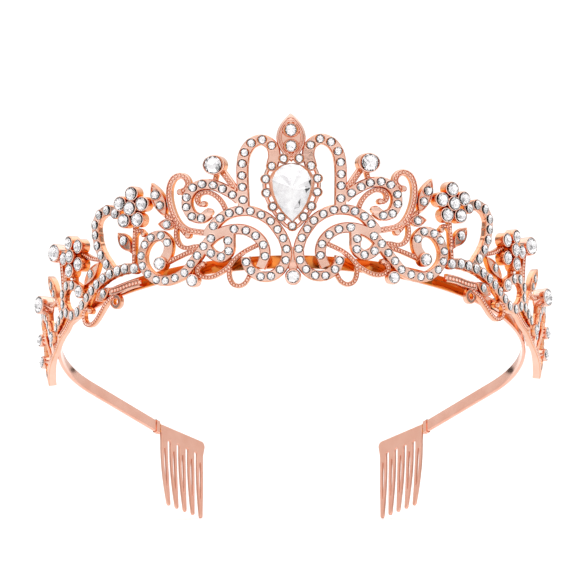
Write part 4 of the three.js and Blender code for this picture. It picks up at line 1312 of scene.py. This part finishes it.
def comb_outlines():
    """The plate's outline and the slot inside each pair of tines, x along and y up from the top edge."""
    corner = [[COMB_LENGTH - CORNER + CORNER * math.sin(t), -CORNER + CORNER * math.cos(t)]
              for t in np.linspace(0, math.pi / 2, CORNER_STEPS)]
    outline = [[BEVEL, 0], *corner]
    holes = []
    for pair in reversed(range(TINE_PAIRS)):
        right, left = both_edges(pair, PAIR_WIDTHS)
        tip = (pair + 0.5) * PAIR_PITCH + sweep_at(pair, COMB_HEIGHT)
        shoulder = -COMB_HEIGHT + TIP_RISE
        outline += [*right, [tip + TIP_HALF, shoulder], [tip, -COMB_HEIGHT],
                    [tip - TIP_HALF, shoulder], *left]
        if pair:
            fork = pair * PAIR_PITCH
            side = -PLATE_DEPTH - FORK_RISE
            outline += [[fork + FORK_HALF, side], [fork, -PLATE_DEPTH + FORK_RISE],
                        [fork - FORK_HALF, side]]
        holes.append(np.vstack(both_edges(pair, EYE_WIDTHS)))
    outline += [[0, -BEVEL]]
    return np.array(outline), holes


def comb_mesh():
    """The flat comb with rounded edges, from one filled curve with its slots cut out."""
    curve = bpy.data.curves.new("comb_outline", "CURVE")
    curve.dimensions = "2D"
    curve.fill_mode = "BOTH"
    curve.extrude = COMB_THICKNESS / 2 - EDGE_ROUND
    curve.bevel_depth = EDGE_ROUND
    curve.bevel_resolution = EDGE_ROUND_STEPS
    curve.offset = -EDGE_ROUND
    outline, holes = comb_outlines()
    for loop in (outline, *holes):
        spline = curve.splines.new("POLY")
        spline.points.add(len(loop) - 1)
        for point, (x, y) in zip(spline.points, loop):
            point.co = (x, y, 0, 1)
        spline.use_cyclic_u = True
    holder = bpy.data.objects.new("comb_outline", curve)
    bpy.context.scene.collection.objects.link(holder)
    bpy.context.view_layer.update()
    mesh = bpy.data.meshes.new_from_object(holder)
    points = np.array([vertex.co[:] for vertex in mesh.vertices])
    faces = [list(polygon.vertices) for polygon in mesh.polygons]
    bpy.data.objects.remove(holder)
    bpy.data.curves.remove(curve)
    bpy.data.meshes.remove(mesh)
    return points, faces


flat_comb, comb_faces = comb_mesh()
heading = math.pi / 2 + COMB_TURN
cos, sin = math.cos(heading), math.sin(heading)
x, up, through = flat_comb.T
foot = arm_end + GAP * np.array([cos, sin])
comb_points = np.stack([
    foot[0] + (cos * x + sin * through),
    foot[1] + sin * x - cos * through,
    up + COMB_RISE,
], axis=1)
for label, side in mirrored.items():
    points, faces = mirrored_body(comb_points, comb_faces, side)
    make_piece(f"comb_plate_{label}", on_band(points), faces, [comb_metal],
               [f"comb_{label}"], None, BAND_SMOOTH)

# ---- Crimps, the metal that joins each comb, and the tabs ----
SLEEVE_GROWTH = 0.5
SLEEVE_ROUND = 0.4
SLEEVE_STEPS = 9
JOINT_GROWTH = 0.2
JOINT_HEIGHT = 1.4
JOINT_ROUND = 0.35
JOINT_RISES = (-0.8, 0.8)
JOINT_REACH = (-0.55, 0.25)
JOINT_STEPS = 5
FITTING_SMOOTH = 40


def along_arm(start, low, high, steps):
    """Points of the arm's own line, from low to high past the start."""
    return start + arm_direction * np.linspace(low, high, steps)[:, None]


for label, side in mirrored.items():
    middle = arm_end - arm_direction * (CRIMP_LENGTH / 2 + 2 * GAP)
    section = rounded_section(BAND_THICKNESS + SLEEVE_GROWTH, BAND_WIDTH + SLEEVE_GROWTH, SLEEVE_ROUND)
    sleeve = sweep(along_arm(middle, -CRIMP_LENGTH / 2, CRIMP_LENGTH / 2, SLEEVE_STEPS), section)
    points, faces = mirrored_body(*sleeve, side)
    make_piece(f"crimp_sleeve_{label}", on_band(points), faces, [band_metal],
               [f"crimp_{label}"], None, FITTING_SMOOTH)
    bundle = Bundle()
    section = rounded_section(BAND_THICKNESS + JOINT_GROWTH, JOINT_HEIGHT, JOINT_ROUND)
    for rise in JOINT_RISES:
        joint = sweep(along_arm(arm_end, *JOINT_REACH, JOINT_STEPS), section + [0, rise])
        points, faces = mirrored_body(*joint, side)
        bundle.add(on_band(points), faces)
    bundle.piece(f"comb_joint_{label}", [copper], "cast_alloy", (), FITTING_SMOOTH)
for name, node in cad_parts.items():
    if "_tab_" in name:
        for part_slot in node.material_slots:
            part_slot.material = cast_metal

# ---- Floor, light and camera ----
FLOOR_GAP = 0.2
FLOOR_HALF = 6.0
FLOOR_GRAIN = 3
floor_height = cad_box[0].z - FLOOR_GAP * MM
mesh = bpy.data.meshes.new("floor")
corners = [(x * FLOOR_HALF, y * FLOOR_HALF, floor_height) for x, y in ((-1, -1), (1, -1), (1, 1), (-1, 1))]
mesh.from_pydata(corners, [], [(0, 1, 2, 3)])
floor_material, tree, shader = shader_of("pale_floor")
fill(tree, shader, {
    "Base Color": blend_colours(tree, noise_value(tree, FLOOR_GRAIN), (0.93,) * 3, (0.95,) * 3),
    "Specular IOR Level": 0,
    "Roughness": 1,
})
mesh.materials.append(floor_material)
floor = bpy.data.objects.new("floor", mesh)
bpy.context.scene.collection.objects.link(floor)

# The studio: a broad soft box in front, a white backdrop behind, a soft box overhead and dimmer sides.
# Small dark openings behind and dark spots elsewhere give the stones and the polished edges their dark
# glints. The camera itself sees only the backdrop.
SKY = 1.15
DARK = 0.02
OVERHEAD = 1.55
OVERHEAD_EDGE = (0.45, 0.72)
# From straight behind to straight in front, with the level at each place.
ROUND_LEVELS = [(0.0, 1.0), (0.42, 1.0), (0.5, 0.3), (0.68, 0.3), (0.79, 0.95), (1.0, 0.95)]
# Direction, half angle of the dark middle and of its soft edge, in degrees.
openings = [
    [(-0.52, 0.85, 0.07), 4, 5],
    [(0.52, 0.85, 0.07), 2, 4],
]
SPOT_DENSITY = 3.2
SPOT_EDGES = (0.15, 0.19)
UNSPOTTED_BACK = (0.2, 0.4)
SLOPE_DIRECTION = (0, -0.4, 0.9)
SLOPE_SPAN = (-0.7, 0.9)
SLOPE_LEVELS = (0.82, 1.12)
world = bpy.data.worlds.new("studio")
bpy.context.scene.world = world
world.use_nodes = True
tree = world.node_tree
where = new_node(tree, "TexCoord", {}).outputs["Generated"]


def toward(direction):
    """The cosine of the angle between a ray and a direction."""
    dot = new_node(tree, "VectorMath", {0: where, 1: Vector(direction).normalized()})
    dot.operation = "DOT_PRODUCT"
    return dot.outputs["Value"]


def stepped(value, span, levels=(0, 1)):
    return map_range(tree, value, span, levels, smooth=True)


ramp = new_node(tree, "ValToRGB", {"Fac": stepped(toward((0, -1, 0)), (-1, 1))})
while len(ramp.color_ramp.elements) < len(ROUND_LEVELS):
    ramp.color_ramp.elements.new(0.5)
for element, (position, level) in zip(ramp.color_ramp.elements, ROUND_LEVELS):
    element.position = position
    element.color = (level, level, level, 1)
overhead = stepped(toward((0, 0, 1)), OVERHEAD_EDGE, (0, OVERHEAD))
level = combined(tree, "MAXIMUM", ramp.outputs["Color"], overhead)
for direction, inner, outer in openings:
    cosines = math.cos(math.radians(outer)), math.cos(math.radians(inner))
    level = combined(tree, "MULTIPLY", level, stepped(toward(direction), cosines, (1, DARK)))
spots = new_node(tree, "TexVoronoi", {"Vector": where, "Scale": SPOT_DENSITY})
spotted = combined(tree, "MAXIMUM", stepped(spots.outputs["Distance"], SPOT_EDGES, (DARK, 1)),
                   stepped(toward((0, 1, 0)), UNSPOTTED_BACK))
level = combined(tree, "MULTIPLY", level, spotted)
level = combined(tree, "MULTIPLY", level, stepped(toward(SLOPE_DIRECTION), SLOPE_SPAN, SLOPE_LEVELS))
rays = new_node(tree, "LightPath", {})
seen = new_node(tree, "Mix", {"Factor": rays.outputs["Is Camera Ray"], "A": level, "B": SKY})
fill(tree, tree.nodes["Background"], {"Color": (1, 1, 1, 1), "Strength": seen.outputs["Result"]})

camera_data = bpy.data.cameras.new("camera")
camera_data.sensor_width = 36
camera_data.lens = 148.7
camera_data.clip_end = 50
camera = bpy.data.objects.new("camera", camera_data)
camera.location = (0.0003, -0.7134, 0.0208)
camera.rotation_euler = (math.pi / 2, 0, 0)
bpy.context.scene.collection.objects.link(camera)
bpy.context.scene.camera = camera
bpy.context.scene.view_settings.view_transform = "Standard"
